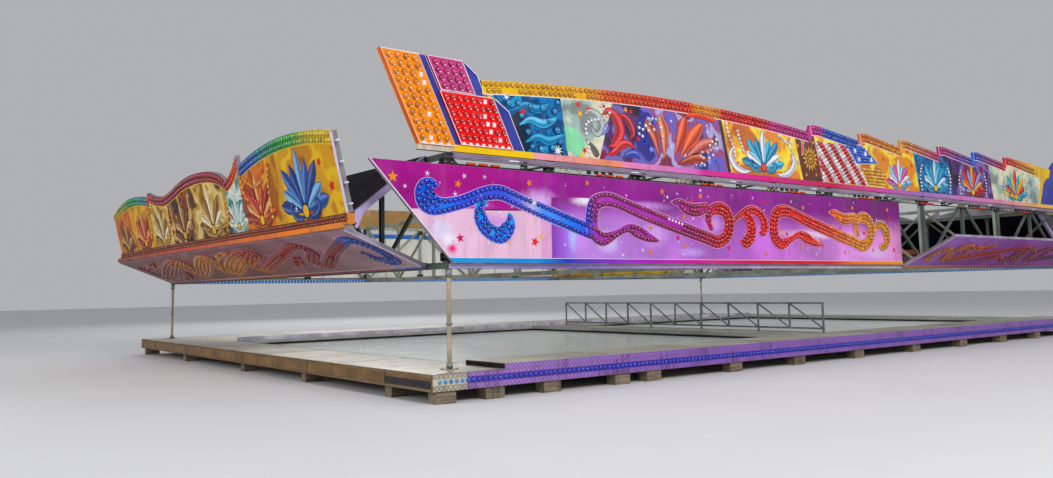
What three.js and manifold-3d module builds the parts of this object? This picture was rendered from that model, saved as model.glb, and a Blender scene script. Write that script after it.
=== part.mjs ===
// Travelling bumper car arena, half way through being set up: the deck lies on timber
// packing, the roof frame stands low on its four posts, and the scroll boards and crown
// boards round the roof edge are partly folded out.
//
// Millimetres, +Z up. X runs to the right along the front, Y from the front to the rear.
// The origin is on the ground under the middle of the deck. Inside the model, places are
// given from the front left corner of the walkway's top: x to the right, y to the rear and
// z above the walkway.

import * as THREE from 'three';
import { mergeVertices } from 'three/addons/utils/BufferGeometryUtils.js';
import Module from 'manifold-3d';

const wasm = await Module();
wasm.setup();

// Driving dimensions

const DECK_LENGTH = 22040;
const DECK_DEPTH = 14600;
const DECK_HEIGHT = 400;
const SIDE_WALKWAY = 1340;
const FRONT_WALKWAY = 1340;
const REAR_WALKWAY = 3500;
const CENTRE_STRIP = 1340;
const FLOOR_DROP = 120;
const FLOOR_PLATE = 40;
const WALKWAY_PLATE = 60;
const WALKWAY_LEG = 60;
const EDGE_BOARD_HEIGHT = 230;
const EDGE_BOARD_THICKNESS = 30;
const BEARER_WIDTH = 200;
const BLOCK_LENGTH = 320;
const BLOCK_WIDTH = 196;

const POST_INSET = 534;
const POST_SIDE_INSET = 616;
const POST_DIAMETER = 65;
const FOOT_PLATE = 200;
const FOOT_PLATE_THICKNESS = 12;

const ROOF_LOW = 1420;
const ROOF_HIGH = 3100;
const LOWER_CHORD = 95;
const CHORD_WIDTH = 80;
const UPRIGHT_BAR = 68;
const DIAGONAL_BAR = 50;
const LONG_PANELS = 11;
const SHORT_PANELS = 7;
const CROSS_GIRDER_PANELS = [3, 7, 9];

const HINGE_HEIGHT = 1505;
const HINGE_RADIUS = 24;
const FLAP_LENGTH = 1400;
const FLAP_THICKNESS = 60;
const FLAP_WING = 1319;
const FRONT_FLAP_SPLIT = 12600;
const FLAP_SPLIT_GAP = 60;
const SIDE_FLAP_START = 1040;
const SIDE_FLAP_END = 13900;
const SIDE_FLAP_TILT = 67.85;
const FRONT_RIGHT_TILT = 64;

const CROWN_BASE_LOW = 3105;
const CROWN_BASE_TOP = 3205;
const END_BEAM_LOW = 3090;
const END_BEAM_TOP = 3168;
const END_BEAM_LENGTH = 606;
const CROWN_TOP = 4456;
const CROWN_THICKNESS = 60;
const CROWN_SLANT = 0.48;
const LAMP_PANEL_THICKNESS = 40;

const SIDE_CROWN_LEAN = 13;
const SIDE_CROWN_BASE_HEIGHT = 150;
const SIDE_CROWN_THICKNESS = 80;
const CLOSING_PLATE = 20;
const CLOSING_SLOPE = 37.4;
const CLOSING_LENGTH = 1455;

const RAIL_HEIGHT = 690;
const RAIL_PANELS = 10;

const SEAT = 0.3;
const RUNNING_GAP = 3;

const floorTop = -FLOOR_DROP;
const floorUnderside = floorTop - FLOOR_PLATE;
const bearerLow = -EDGE_BOARD_HEIGHT;
const stripStart = (DECK_LENGTH - CENTRE_STRIP) / 2;
const stripEnd = stripStart + CENTRE_STRIP;
const rearWalkwayStart = DECK_DEPTH - REAR_WALKWAY;
const roofRight = DECK_LENGTH - POST_SIDE_INSET;
const roofRear = DECK_DEPTH - POST_INSET;

// Shape helpers

function solidOf(geometry) {
  const plain = geometry.clone();
  for (const name of Object.keys(plain.attributes)) {
    if (name !== 'position') plain.deleteAttribute(name);
  }
  const merged = mergeVertices(plain, 1e-3);
  return new wasm.Manifold(new wasm.Mesh({
    numProp: 3,
    vertProperties: new Float32Array(merged.attributes.position.array),
    triVerts: new Uint32Array(merged.index.array),
  }));
}

function geometryOf(solid) {
  const mesh = solid.getMesh();
  const geometry = new THREE.BufferGeometry();
  geometry.setAttribute('position', new THREE.BufferAttribute(new Float32Array(mesh.vertProperties), 3));
  geometry.setIndex(new THREE.BufferAttribute(new Uint32Array(mesh.triVerts), 1));
  geometry.computeVertexNormals();
  return geometry;
}

function joined(geometries) {
  return geometryOf(geometries.map(solidOf).reduce((whole, piece) => whole.add(piece)));
}

function box(x0, x1, y0, y1, z0, z1) {
  const geometry = new THREE.BoxGeometry(x1 - x0, y1 - y0, z1 - z0);
  return geometry.translate((x0 + x1) / 2, (y0 + y1) / 2, (z0 + z1) / 2);
}

function bar(from, to, width) {
  const start = new THREE.Vector3(...from);
  const end = new THREE.Vector3(...to);
  const along = end.clone().sub(start);
  const geometry = new THREE.BoxGeometry(width, width, along.length());
  const up = new THREE.Vector3(0, 0, 1);
  geometry.applyQuaternion(new THREE.Quaternion().setFromUnitVectors(up, along.clone().normalize()));
  return geometry.translate(...start.add(end).multiplyScalar(0.5).toArray());
}

function rod(radius, length, sides = 12) {
  return new THREE.CylinderGeometry(radius, radius, length, sides);
}

function shapeOf(points) {
  return new THREE.Shape(points.map(([x, y]) => new THREE.Vector2(x, y)));
}

// An outline in x and z, with its thickness running from y = front towards the rear.
function standing(shape, front, thickness) {
  const geometry = new THREE.ExtrudeGeometry(shape, { depth: thickness, bevelEnabled: false, curveSegments: 6 });
  geometry.rotateX(Math.PI / 2);
  return geometry.translate(0, front + thickness, 0);
}

function metal(color, roughness = 0.5, metalness = 0.7) {
  return new THREE.MeshStandardMaterial({ color, roughness, metalness });
}

function paint(color, roughness = 0.45) {
  return new THREE.MeshStandardMaterial({ color, roughness, metalness: 0.1 });
}

const arena = new THREE.Group();
const deckFrame = new THREE.Group();
deckFrame.position.set(-DECK_LENGTH / 2, -DECK_DEPTH / 2, DECK_HEIGHT);
arena.add(deckFrame);

function place(name, geometry, material, parent = deckFrame) {
  const mesh = new THREE.Mesh(geometry, material);
  mesh.name = name;
  parent.add(mesh);
  return mesh;
}

// Deck: bearers on packing, walkways, driving floors and edge boards

const packedSteel = () => metal(0x6b6258, 0.7, 0.5);
const treadPlate = () => metal(0x9fb3b8, 0.4, 0.8);
const floorPlate = () => metal(0x8fa3a3, 0.25, 0.9);

function bearer(name, middle, blocks) {
  const inner = EDGE_BOARD_THICKNESS + RUNNING_GAP;
  const beam = box(inner, DECK_LENGTH - inner, middle - BEARER_WIDTH / 2, middle + BEARER_WIDTH / 2,
    bearerLow, floorUnderside - SEAT);
  const packs = blocks.map((x) => box(x - BLOCK_LENGTH / 2, x + BLOCK_LENGTH / 2,
    middle - BLOCK_WIDTH / 2, middle + BLOCK_WIDTH / 2, -DECK_HEIGHT, bearerLow + 1));
  place(name, joined([beam, ...packs]), packedSteel());
}

function evenBlocks(count, inset = 240) {
  const step = (DECK_LENGTH - 2 * inset) / (count - 1);
  return Array.from({ length: count }, (_, i) => inset + i * step);
}

const frontBlocks = [240, 1050, 2080, 3500, 4200, 6250, 8100, 10100, 12300, 14400, 16400, 18300, 20100, 21100, 21800];
const bearerEdge = EDGE_BOARD_THICKNESS + RUNNING_GAP + BEARER_WIDTH / 2;
bearer('front_bearer', bearerEdge, frontBlocks);
bearer('floor_front_bearer', FRONT_WALKWAY, evenBlocks(9));
bearer('floor_middle_bearer_1', (FRONT_WALKWAY + DECK_DEPTH / 2) / 2, evenBlocks(9));
bearer('floor_middle_bearer_2', DECK_DEPTH / 2, evenBlocks(9));
bearer('floor_rear_bearer', rearWalkwayStart, evenBlocks(9));
bearer('rear_bearer', DECK_DEPTH - bearerEdge, evenBlocks(10));

// A walkway is a folded plate with a leg down each long edge.
function walkway(name, x0, x1, y0, y1, legsAlongX) {
  const pieces = [box(x0, x1, y0, y1, -WALKWAY_PLATE, 0)];
  if (legsAlongX) {
    pieces.push(box(x0, x1, y0, y0 + WALKWAY_LEG, floorUnderside, -WALKWAY_PLATE + 1));
    pieces.push(box(x0, x1, y1 - WALKWAY_LEG, y1, floorUnderside, -WALKWAY_PLATE + 1));
  } else {
    pieces.push(box(x0, x0 + WALKWAY_LEG, y0, y1, floorUnderside, -WALKWAY_PLATE + 1));
    pieces.push(box(x1 - WALKWAY_LEG, x1, y0, y1, floorUnderside, -WALKWAY_PLATE + 1));
  }
  place(name, joined(pieces), treadPlate());
}

const edge = EDGE_BOARD_THICKNESS + SEAT;
walkway('front_walkway', edge, DECK_LENGTH - edge, edge, FRONT_WALKWAY, true);
walkway('left_walkway', edge, SIDE_WALKWAY, FRONT_WALKWAY + SEAT, rearWalkwayStart - SEAT, false);
walkway('right_walkway', DECK_LENGTH - SIDE_WALKWAY, DECK_LENGTH - edge, FRONT_WALKWAY + SEAT,
  rearWalkwayStart - SEAT, false);
walkway('rear_walkway', edge, DECK_LENGTH - edge, rearWalkwayStart, DECK_DEPTH - edge, true);
walkway('centre_strip', stripStart, stripEnd, FRONT_WALKWAY + SEAT, rearWalkwayStart - SEAT, false);

function drivingFloor(name, x0, x1) {
  place(name, box(x0 + SEAT, x1 - SEAT, FRONT_WALKWAY + SEAT, rearWalkwayStart - SEAT, floorUnderside, floorTop),
    floorPlate());
}
drivingFloor('left_driving_floor', SIDE_WALKWAY, stripStart);
drivingFloor('right_driving_floor', stripEnd, DECK_LENGTH - SIDE_WALKWAY);

function edgeBoard(name, x0, x1, y0, y1) {
  place(name, box(x0, x1, y0, y1, -EDGE_BOARD_HEIGHT, 0), paint(0xb9a98a, 0.5));
}
const thick = EDGE_BOARD_THICKNESS;
edgeBoard('front_edge_board', 0, DECK_LENGTH, 0, thick);
edgeBoard('rear_edge_board', 0, DECK_LENGTH, DECK_DEPTH - thick, DECK_DEPTH);
edgeBoard('left_edge_board', 0, thick, thick + SEAT, DECK_DEPTH - thick - SEAT);
edgeBoard('right_edge_board', DECK_LENGTH - thick, DECK_LENGTH, thick + SEAT, DECK_DEPTH - thick - SEAT);

// The bumper rail along the rear of both floors.
const KERB_WIDTH = 110;
const KERB_HEIGHT = 90;
place('rear_kerb', box(SIDE_WALKWAY, DECK_LENGTH - SIDE_WALKWAY, rearWalkwayStart + 20,
  rearWalkwayStart + 20 + KERB_WIDTH, SEAT, KERB_HEIGHT), paint(0xd8d4e4));

// The low lattice rail along the centre strip.
function centreRailing() {
  const RAIL_BAR = 40;
  const RAIL_THIN_BAR = 28;
  const x = stripEnd - 140;
  const start = FRONT_WALKWAY + 470;
  const end = rearWalkwayStart - 180;
  const step = (end - start) / RAIL_PANELS;
  const low = 90;
  const high = RAIL_HEIGHT - RAIL_BAR / 2;
  const bars = [
    bar([x, start - RAIL_BAR / 2, low], [x, end + RAIL_BAR / 2, low], RAIL_BAR),
    bar([x, start - RAIL_BAR / 2, high], [x, end + RAIL_BAR / 2, high], RAIL_BAR),
  ];
  for (let i = 0; i <= RAIL_PANELS; i += 1) {
    const y = start + i * step;
    const foot = i % 2 === 0 ? SEAT : low;
    bars.push(bar([x, y, foot], [x, y, high], RAIL_BAR - 4));
    if (i < RAIL_PANELS) bars.push(bar([x, y, low], [x, y + step, high], RAIL_THIN_BAR));
  }
  place('centre_railing', joined(bars), metal(0x8c9494));
}
centreRailing();

// Roof: posts, girders and the rolled cover

function post(name, x, y) {
  const height = ROOF_LOW - SEAT;
  const tube = rod(POST_DIAMETER / 2, height - SEAT).rotateX(Math.PI / 2).translate(0, 0, (height + SEAT) / 2);
  const half = FOOT_PLATE / 2;
  const foot = box(-half, half, -half, half, SEAT, FOOT_PLATE_THICKNESS);
  place(name, joined([tube, foot]), metal(0xcdbfa6)).position.set(x, y, 0);
}
post('front_left_post', POST_SIDE_INSET, POST_INSET);
post('front_right_post', roofRight, POST_INSET);
post('rear_left_post', POST_SIDE_INSET, roofRear);
post('rear_right_post', roofRight, roofRear);

// A lattice girder from start to end, at x = 0 of its own frame, running along y.
function girderBars(length, panels, rising) {
  const lowMiddle = ROOF_LOW + LOWER_CHORD / 2;
  const highMiddle = ROOF_HIGH - CHORD_WIDTH / 2;
  const half = CHORD_WIDTH / 2;
  const bars = [
    box(-half, half, 0, length, ROOF_LOW, ROOF_LOW + LOWER_CHORD),
    box(-half, half, 0, length, ROOF_HIGH - CHORD_WIDTH, ROOF_HIGH),
  ];
  const barHalf = UPRIGHT_BAR / 2;
  const step = (length - UPRIGHT_BAR) / panels;
  for (let i = 0; i <= panels; i += 1) {
    const y = barHalf + i * step;
    bars.push(box(-barHalf, barHalf, y - barHalf, y + barHalf, lowMiddle, highMiddle));
    if (i < panels) {
      const up = rising(i);
      bars.push(bar([0, y, up ? lowMiddle : highMiddle], [0, y + step, up ? highMiddle : lowMiddle], DIAGONAL_BAR));
    }
  }
  return joined(bars);
}

const girderPaint = () => metal(0x4a5450, 0.6, 0.5);
const chordHalf = CHORD_WIDTH / 2;
const longSpan = roofRight - POST_SIDE_INSET + CHORD_WIDTH;
const shortSpan = roofRear - POST_INSET - CHORD_WIDTH - 2 * SEAT;

function longGirder(name, y) {
  const girder = place(name, girderBars(longSpan, LONG_PANELS, (i) => i % 2 === 1), girderPaint());
  girder.position.set(POST_SIDE_INSET - chordHalf, y, 0);
  girder.rotation.z = -Math.PI / 2;
}
longGirder('front_girder', POST_INSET);
longGirder('rear_girder', roofRear);

function shortGirder(name, x, rising) {
  const girder = place(name, girderBars(shortSpan, SHORT_PANELS, rising), girderPaint());
  girder.position.set(x, POST_INSET + chordHalf + SEAT, 0);
}
shortGirder('left_girder', POST_SIDE_INSET, (i) => i % 2 === 1);
shortGirder('right_girder', roofRight, (i) => i % 2 === 1);
const longStep = (longSpan - UPRIGHT_BAR) / LONG_PANELS;
CROSS_GIRDER_PANELS.forEach((panel, i) => {
  const x = POST_SIDE_INSET - chordHalf + UPRIGHT_BAR / 2 + panel * longStep;
  shortGirder(`cross_girder_${i + 1}`, x, (k) => k % 2 === 0);
});

// The roof cover, rolled up and laid over two cross girders.
const ROLL_RADIUS = 200;
const ROLL_START = 12900;
const ROLL_LENGTH = 5900;
const ROLL_BACK = 13110;
const roll = place('roof_cover_roll', rod(ROLL_RADIUS, ROLL_LENGTH, 16).rotateZ(-Math.PI / 2), paint(0xd9a512, 0.8));
roll.position.set(ROLL_START + ROLL_LENGTH / 2, ROLL_BACK, ROOF_LOW + LOWER_CHORD + ROLL_RADIUS + SEAT);

// Scroll boards: one flap along each side, hinged on the roof's lower chord

// A flap in its folded up pose: x along the board, y from the hinge axis outwards as
// negative, z up from the hinge axis. Its ends may carry a slanted wing.
function flapShape(start, end, wingStart, wingEnd) {
  return shapeOf([[start, 0], [end, 0], [end + wingEnd, FLAP_LENGTH], [start - wingStart, FLAP_LENGTH]]);
}

function flapGeometry(start, end, wingStart, wingEnd) {
  const board = standing(flapShape(start, end, wingStart, wingEnd), -FLAP_THICKNESS, FLAP_THICKNESS);
  const barrel = rod(HINGE_RADIUS, end - start, 16).rotateZ(-Math.PI / 2).translate((start + end) / 2, 0, 0);
  return joined([board, barrel]);
}

const hingeInset = chordHalf + HINGE_RADIUS + SEAT;
const frontHinge = new THREE.Group();
frontHinge.position.set(0, POST_INSET - hingeInset, HINGE_HEIGHT);
deckFrame.add(frontHinge);

const scrollPaint = () => paint(0x9b2fa0, 0.35);
place('front_left_flap', flapGeometry(POST_SIDE_INSET, FRONT_FLAP_SPLIT, FLAP_WING, 0), scrollPaint(), frontHinge);
const frontRight = place('front_right_flap',
  flapGeometry(FRONT_FLAP_SPLIT + FLAP_SPLIT_GAP, roofRight, 0, FLAP_WING), scrollPaint(), frontHinge);
frontRight.rotation.x = THREE.MathUtils.degToRad(FRONT_RIGHT_TILT);

const rearHinge = new THREE.Group();
rearHinge.position.set(DECK_LENGTH, roofRear + hingeInset, HINGE_HEIGHT);
rearHinge.rotation.z = Math.PI;
deckFrame.add(rearHinge);
place('rear_flap', flapGeometry(POST_SIDE_INSET, roofRight, 0, 0), scrollPaint(), rearHinge);

// The left side's frame looks at the arena from the left: x runs from the rear to the
// front, so that the flap's outside is its negative y as on the front.
function sideFrame(side) {
  const frame = new THREE.Group();
  const left = side === 'left';
  frame.position.set(left ? POST_SIDE_INSET - hingeInset : roofRight + hingeInset, left ? DECK_DEPTH : 0, HINGE_HEIGHT);
  frame.rotation.z = left ? -Math.PI / 2 : Math.PI / 2;
  deckFrame.add(frame);
  return frame;
}
const sides = { left: sideFrame('left'), right: sideFrame('right') };
const sideTilt = THREE.MathUtils.degToRad(SIDE_FLAP_TILT);
const sideSpan = {
  left: [DECK_DEPTH - SIDE_FLAP_END, DECK_DEPTH - SIDE_FLAP_START],
  right: [SIDE_FLAP_START, SIDE_FLAP_END],
};
for (const side of ['left', 'right']) {
  const [start, end] = sideSpan[side];
  place(`${side}_flap`, flapGeometry(start, end, 0, 0), scrollPaint(), sides[side]).rotation.x = sideTilt;
}

// Side crowns: a leaning board on a base that is hinged to the flap's outer edge

const CROWN_HINGE_OFFSET = 20;
const crownHinge = new THREE.Vector2(0, 0);
{
  const up = FLAP_LENGTH + HINGE_RADIUS + SEAT;
  crownHinge.x = -CROWN_HINGE_OFFSET * Math.cos(sideTilt) - up * Math.sin(sideTilt);
  crownHinge.y = -CROWN_HINGE_OFFSET * Math.sin(sideTilt) + up * Math.cos(sideTilt);
}

const LUG_WIDTH = 24;
const LUG_RISE = 40;
const BASE_PLATE = 20;
const BASE_SETBACK = 60;
const BASE_DEPTH = 115;
const baseTop = LUG_RISE + SIDE_CROWN_BASE_HEIGHT;

// The base beam with its hinge barrel, in a frame whose origin is the crown's hinge axis.
function sideCrownBase(start, end) {
  return [
    rod(HINGE_RADIUS, end - start, 16).rotateZ(-Math.PI / 2).translate((start + end) / 2, 0, 0),
    box(start, end, -LUG_WIDTH / 2, LUG_WIDTH / 2, 0, LUG_RISE + BASE_PLATE),
    box(start, end, -LUG_WIDTH / 2, BASE_SETBACK + BASE_DEPTH, LUG_RISE, LUG_RISE + BASE_PLATE),
    box(start, end, BASE_SETBACK, BASE_SETBACK + BASE_DEPTH, LUG_RISE, baseTop),
  ];
}

// The upper outline of a side crown, from its front end to its rear end: a tall arc, a
// spike, two notched waves and a low arc. Along is a part of the board's length.
function sideCrownShape(length) {
  const shape = new THREE.Shape();
  const at = (part) => part * length;
  shape.moveTo(0, 0);
  shape.lineTo(0, 1173);
  shape.quadraticCurveTo(at(0.146), 1541, at(0.293), 1124);
  shape.lineTo(at(0.293), 1319);
  shape.quadraticCurveTo(at(0.315), 1050, at(0.352), 960);
  shape.quadraticCurveTo(at(0.370), 1150, at(0.420), 1230);
  shape.quadraticCurveTo(at(0.500), 1340, at(0.580), 1165);
  shape.quadraticCurveTo(at(0.620), 1070, at(0.655), 1045);
  shape.quadraticCurveTo(at(0.710), 1090, at(0.739), 1233);
  shape.lineTo(at(0.742), 1116);
  shape.quadraticCurveTo(at(0.870), 1449, length, 987);
  shape.lineTo(length, 0);
  return shape;
}

function sideCrownBoard(start, end, frontAtEnd) {
  const length = end - start;
  const board = standing(sideCrownShape(length), 0, SIDE_CROWN_THICKNESS);
  if (frontAtEnd) board.rotateZ(Math.PI).translate(length, SIDE_CROWN_THICKNESS, 0);
  board.rotateX(THREE.MathUtils.degToRad(SIDE_CROWN_LEAN));
  return board.translate(start, BASE_SETBACK + 18, baseTop + SEAT);
}

// The closing board runs from the base up to the roof's top edge. Ribs stiffen it. Each rib
// has a heel on the base, a brace down to the heel and a strut that stands just clear of
// the flap's back.
const RIB = 60;
const RIB_COUNT = 7;
const STRUT = 44;
const STRUT_LEAN = new THREE.Vector2(-0.406, -0.914);
const STRUT_PLACE = 0.12;
const BRACE_PLACE = 0.30;
const HEEL_DEPTH = 56;
const HEEL_JOINT = 120;

function closingBoard(start, end) {
  const slope = THREE.MathUtils.degToRad(CLOSING_SLOPE);
  const flapSlope = Math.PI / 2 - sideTilt;
  const heel = BASE_SETBACK + BASE_DEPTH + SEAT;
  const back = heel + CLOSING_PLATE * Math.sin(slope);
  const low = baseTop + 5;
  const slant = Math.tan(flapSlope);
  const strutEnd = (CROWN_HINGE_OFFSET + STRUT) / Math.cos(flapSlope);
  const ribPoint = (x, part) => [x, back + part * CLOSING_LENGTH * Math.cos(slope),
    low + part * CLOSING_LENGTH * Math.sin(slope) - RIB / 2];
  const pieces = [box(start, end, 0, CLOSING_LENGTH, 0, CLOSING_PLATE).rotateX(slope).translate(0, back, low)];
  for (let i = 0; i < RIB_COUNT; i += 1) {
    const x = start + RIB / 2 + i * (end - start - RIB) / (RIB_COUNT - 1);
    const left = x - RIB / 2;
    const right = x + RIB / 2;
    pieces.push(box(left, right, 0, CLOSING_LENGTH - RIB, -RIB, 1).rotateX(slope).translate(0, back, low));
    pieces.push(box(left, right, heel, heel + HEEL_DEPTH, LUG_RISE + BASE_PLATE, low + 8));
    const [, y, z] = ribPoint(x, STRUT_PLACE);
    const run = (z - strutEnd + slant * y) / -(STRUT_LEAN.y + slant * STRUT_LEAN.x);
    pieces.push(bar([x, y, z], [x, y + run * STRUT_LEAN.x, z + run * STRUT_LEAN.y], STRUT));
    pieces.push(bar(ribPoint(x, BRACE_PLACE), [x, heel + HEEL_DEPTH / 2, HEEL_JOINT], STRUT));
  }
  return joined(pieces);
}

function sideCrown(side) {
  const [start, end] = sideSpan[side];
  const hinge = new THREE.Group();
  hinge.position.set(0, crownHinge.x, crownHinge.y);
  sides[side].add(hinge);
  return { start, end, hinge };
}

const crownPaint = () => paint(0xd98a2b, 0.4);
{
  const { start, end, hinge } = sideCrown('left');
  place('left_crown_base', joined(sideCrownBase(start, end)), paint(0xc8501e), hinge);
  place('left_crown_board', sideCrownBoard(start, end, true), crownPaint(), hinge);
  place('left_closing_board', closingBoard(start, end), paint(0x1d1820, 0.6), hinge);
}
{
  const { start, end, hinge } = sideCrown('right');
  place('right_crown_base', joined(sideCrownBase(start, end)), paint(0xc8501e), hinge);
  place('right_crown_board', sideCrownBoard(start, end, false), crownPaint(), hinge);
  place('right_closing_board', closingBoard(start, end), paint(0x1d1820, 0.6), hinge);
}

// Front crown: lamp boards on a frame that stands on the front girder

const crownBack = POST_INSET - chordHalf - SEAT;
const crownFront = crownBack - CROWN_THICKNESS;
const BASE_PROUD = 20;
const STAY = 50;
const TOP_RAIL = 4010;

// A base beam in front of the girder with a lower beam at each end, a top rail, and
// uprights whose feet lie on the girder.
function frontCrownFrame() {
  const beamFront = crownFront - BASE_PROUD;
  const low = END_BEAM_LENGTH;
  const high = DECK_LENGTH - END_BEAM_LENGTH;
  const end = 60;
  const inset = 6;
  const middle = POST_INSET - chordHalf + STAY / 2;
  const bars = [
    box(low + inset, high - inset, beamFront, crownBack, CROWN_BASE_LOW, CROWN_BASE_TOP),
    box(end, low, beamFront, crownBack, END_BEAM_LOW, END_BEAM_TOP),
    box(high, DECK_LENGTH - end, beamFront, crownBack, END_BEAM_LOW, END_BEAM_TOP),
    box(low, high, middle - STAY / 2, middle + STAY / 2, TOP_RAIL, TOP_RAIL + STAY),
  ];
  for (const joint of [low, high]) {
    bars.push(box(joint - STAY, joint + STAY, crownFront, crownBack - inset,
      CROWN_BASE_LOW + inset, END_BEAM_TOP - inset));
  }
  for (let i = 0; i <= LONG_PANELS; i += 1) {
    const x = low + STAY / 2 + i * (high - low - STAY) / LONG_PANELS;
    bars.push(box(x - STAY / 2, x + STAY / 2, middle - STAY / 2, middle + STAY / 2, CROWN_BASE_LOW, TOP_RAIL + 1));
    bars.push(box(x - STAY, x + STAY, middle - STAY / 2, POST_INSET + STAY / 2, ROOF_HIGH + SEAT, CROWN_BASE_LOW + STAY));
    bars.push(box(x - STAY + inset, x + STAY - inset, crownBack - 2 * inset, middle,
      CROWN_BASE_LOW + inset, CROWN_BASE_LOW + STAY - inset));
  }
  return joined(bars);
}
place('front_crown_frame', frontCrownFrame(), metal(0xd9b93a, 0.45, 0.3));

function crownPiece(name, points, color, front = crownFront, thickness = CROWN_THICKNESS) {
  return place(name, standing(shapeOf(points), front, thickness), paint(color, 0.4));
}

// A slanted four sided piece, from its lower edge up: x at the lower left, its width, and
// its lower and upper heights.
function slanted(x, width, low, high) {
  const shift = (high - low) * CROWN_SLANT;
  return [[x, low], [x + width, low], [x + width - shift, high], [x - shift, high]];
}

const pieceLow = CROWN_BASE_TOP + SEAT;
const endLow = END_BEAM_TOP + SEAT;
const ORANGE_LEFT = 55;
const ORANGE_WIDTH = 600;
const RED_LEFT = 772;
const RED_WIDTH = 940;
const PINK_LEFT = 798;
const PINK_WIDTH = 602;
const UPPER_BEVEL_WIDTH = 210;
const LOWER_BEVEL_WIDTH = 238;
const BEVEL_LEDGE = 55;
const RED_TOP = 3966;
const PINK_LOW = 3972;
const LOWER_BEVEL_TOP = 3802;
const UPPER_BEVEL_TOP = 4292;
const slantTo = (z) => (z - pieceLow) * CROWN_SLANT;
const redRight = RED_LEFT + RED_WIDTH;
const pinkRight = PINK_LEFT + PINK_WIDTH;
const endRight = redRight + LOWER_BEVEL_WIDTH;

// The blue end board behind the three lamp panels, stepped back twice at its right. It
// stands on the end beam and on the base beam.
const endOutline = [
  [ORANGE_LEFT - slantTo(endLow), endLow],
  [END_BEAM_LENGTH, endLow],
  [END_BEAM_LENGTH, pieceLow],
  [endRight, pieceLow],
  [endRight - slantTo(LOWER_BEVEL_TOP), LOWER_BEVEL_TOP],
  [redRight + BEVEL_LEDGE - slantTo(PINK_LOW), PINK_LOW],
  [pinkRight + UPPER_BEVEL_WIDTH - slantTo(PINK_LOW), PINK_LOW],
  [pinkRight + UPPER_BEVEL_WIDTH - slantTo(UPPER_BEVEL_TOP), UPPER_BEVEL_TOP],
  [pinkRight + BEVEL_LEDGE - slantTo(CROWN_TOP), CROWN_TOP],
  [ORANGE_LEFT - slantTo(CROWN_TOP), CROWN_TOP],
];
crownPiece('crown_left_end_board', endOutline, 0x3a3fa8);
const panelFront = crownFront - LAMP_PANEL_THICKNESS - SEAT;
const orangeOutline = [
  [ORANGE_LEFT - slantTo(endLow), endLow],
  [END_BEAM_LENGTH, endLow],
  [END_BEAM_LENGTH, pieceLow],
  [ORANGE_LEFT + ORANGE_WIDTH, pieceLow],
  [ORANGE_LEFT + ORANGE_WIDTH - slantTo(CROWN_TOP), CROWN_TOP],
  [ORANGE_LEFT - slantTo(CROWN_TOP), CROWN_TOP],
];
const lampPanels = [
  ['orange_lamp_panel', orangeOutline, 0xf08a10],
  ['red_lamp_panel', slanted(RED_LEFT, RED_WIDTH, pieceLow, RED_TOP), 0xe01818],
  ['pink_lamp_panel', slanted(PINK_LEFT - slantTo(PINK_LOW), PINK_WIDTH, PINK_LOW, CROWN_TOP), 0xd0508c],
];
for (const [name, points, color] of lampPanels) crownPiece(name, points, color, panelFront, LAMP_PANEL_THICKNESS);

// The right end, hidden in the reference, repeats the left end's outline in one board.
crownPiece('crown_right_end_board', endOutline.map(([x, z]) => [DECK_LENGTH - x, z]).reverse(), 0x3a3fa8);

// The upper edge of the picture boards: a long low arc and then a row of saw teeth. Their
// outer ends follow the end boards' steps, a running gap away.
const ARC_END = 9305;
const ARC_FOOT = 4220;
const ARC_CONTROL = [5200, 4612];
const TOOTH_STARTS = [9386, 11200, 12860, 14600, 16340, 18080];
const TOOTH_TIP = 4366;
const TOOTH_SHOULDER = 4378;
const TOOTH_SHOULDER_BACK = 260;
const TOOTH_LOW = 4190;
const TOOTH_UNDERCUT = 30;

// A picture board's stepped outer end, from its foot up, as [distance from the deck's end, z].
const bevelRight = pinkRight + UPPER_BEVEL_WIDTH + 35;
const steppedEnd = [
  [endRight + RUNNING_GAP, pieceLow],
  [endRight + RUNNING_GAP - slantTo(LOWER_BEVEL_TOP), LOWER_BEVEL_TOP],
  [redRight + BEVEL_LEDGE + RUNNING_GAP - slantTo(PINK_LOW), PINK_LOW + RUNNING_GAP],
  [bevelRight - slantTo(PINK_LOW), PINK_LOW + RUNNING_GAP],
  [bevelRight - slantTo(ARC_FOOT), ARC_FOOT],
];

function pictureBoards() {
  const left = new THREE.Shape();
  const start = bevelRight - slantTo(ARC_FOOT);
  left.moveTo(...steppedEnd[0]);
  left.lineTo(ARC_END, pieceLow);
  left.lineTo(ARC_END, ARC_FOOT);
  left.quadraticCurveTo(...ARC_CONTROL, start, ARC_FOOT);
  for (const point of steppedEnd.slice(1, -1).reverse()) left.lineTo(...point);
  place('front_crown_board_left', standing(left, crownFront, CROWN_THICKNESS), crownPaint());

  const right = new THREE.Shape();
  right.moveTo(ARC_END + RUNNING_GAP, pieceLow);
  for (const [x, z] of steppedEnd) right.lineTo(DECK_LENGTH - x, z);
  for (let i = TOOTH_STARTS.length - 1; i >= 0; i -= 1) {
    if (i + 1 < TOOTH_STARTS.length) right.lineTo(TOOTH_STARTS[i + 1] + TOOTH_UNDERCUT, TOOTH_LOW);
    right.lineTo(TOOTH_STARTS[i] + TOOTH_SHOULDER_BACK, TOOTH_SHOULDER);
    right.lineTo(TOOTH_STARTS[i], TOOTH_TIP);
  }
  right.lineTo(ARC_END + RUNNING_GAP, ARC_FOOT);
  place('front_crown_board_right', standing(right, crownFront, CROWN_THICKNESS), crownPaint());
}
pictureBoards();

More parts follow.
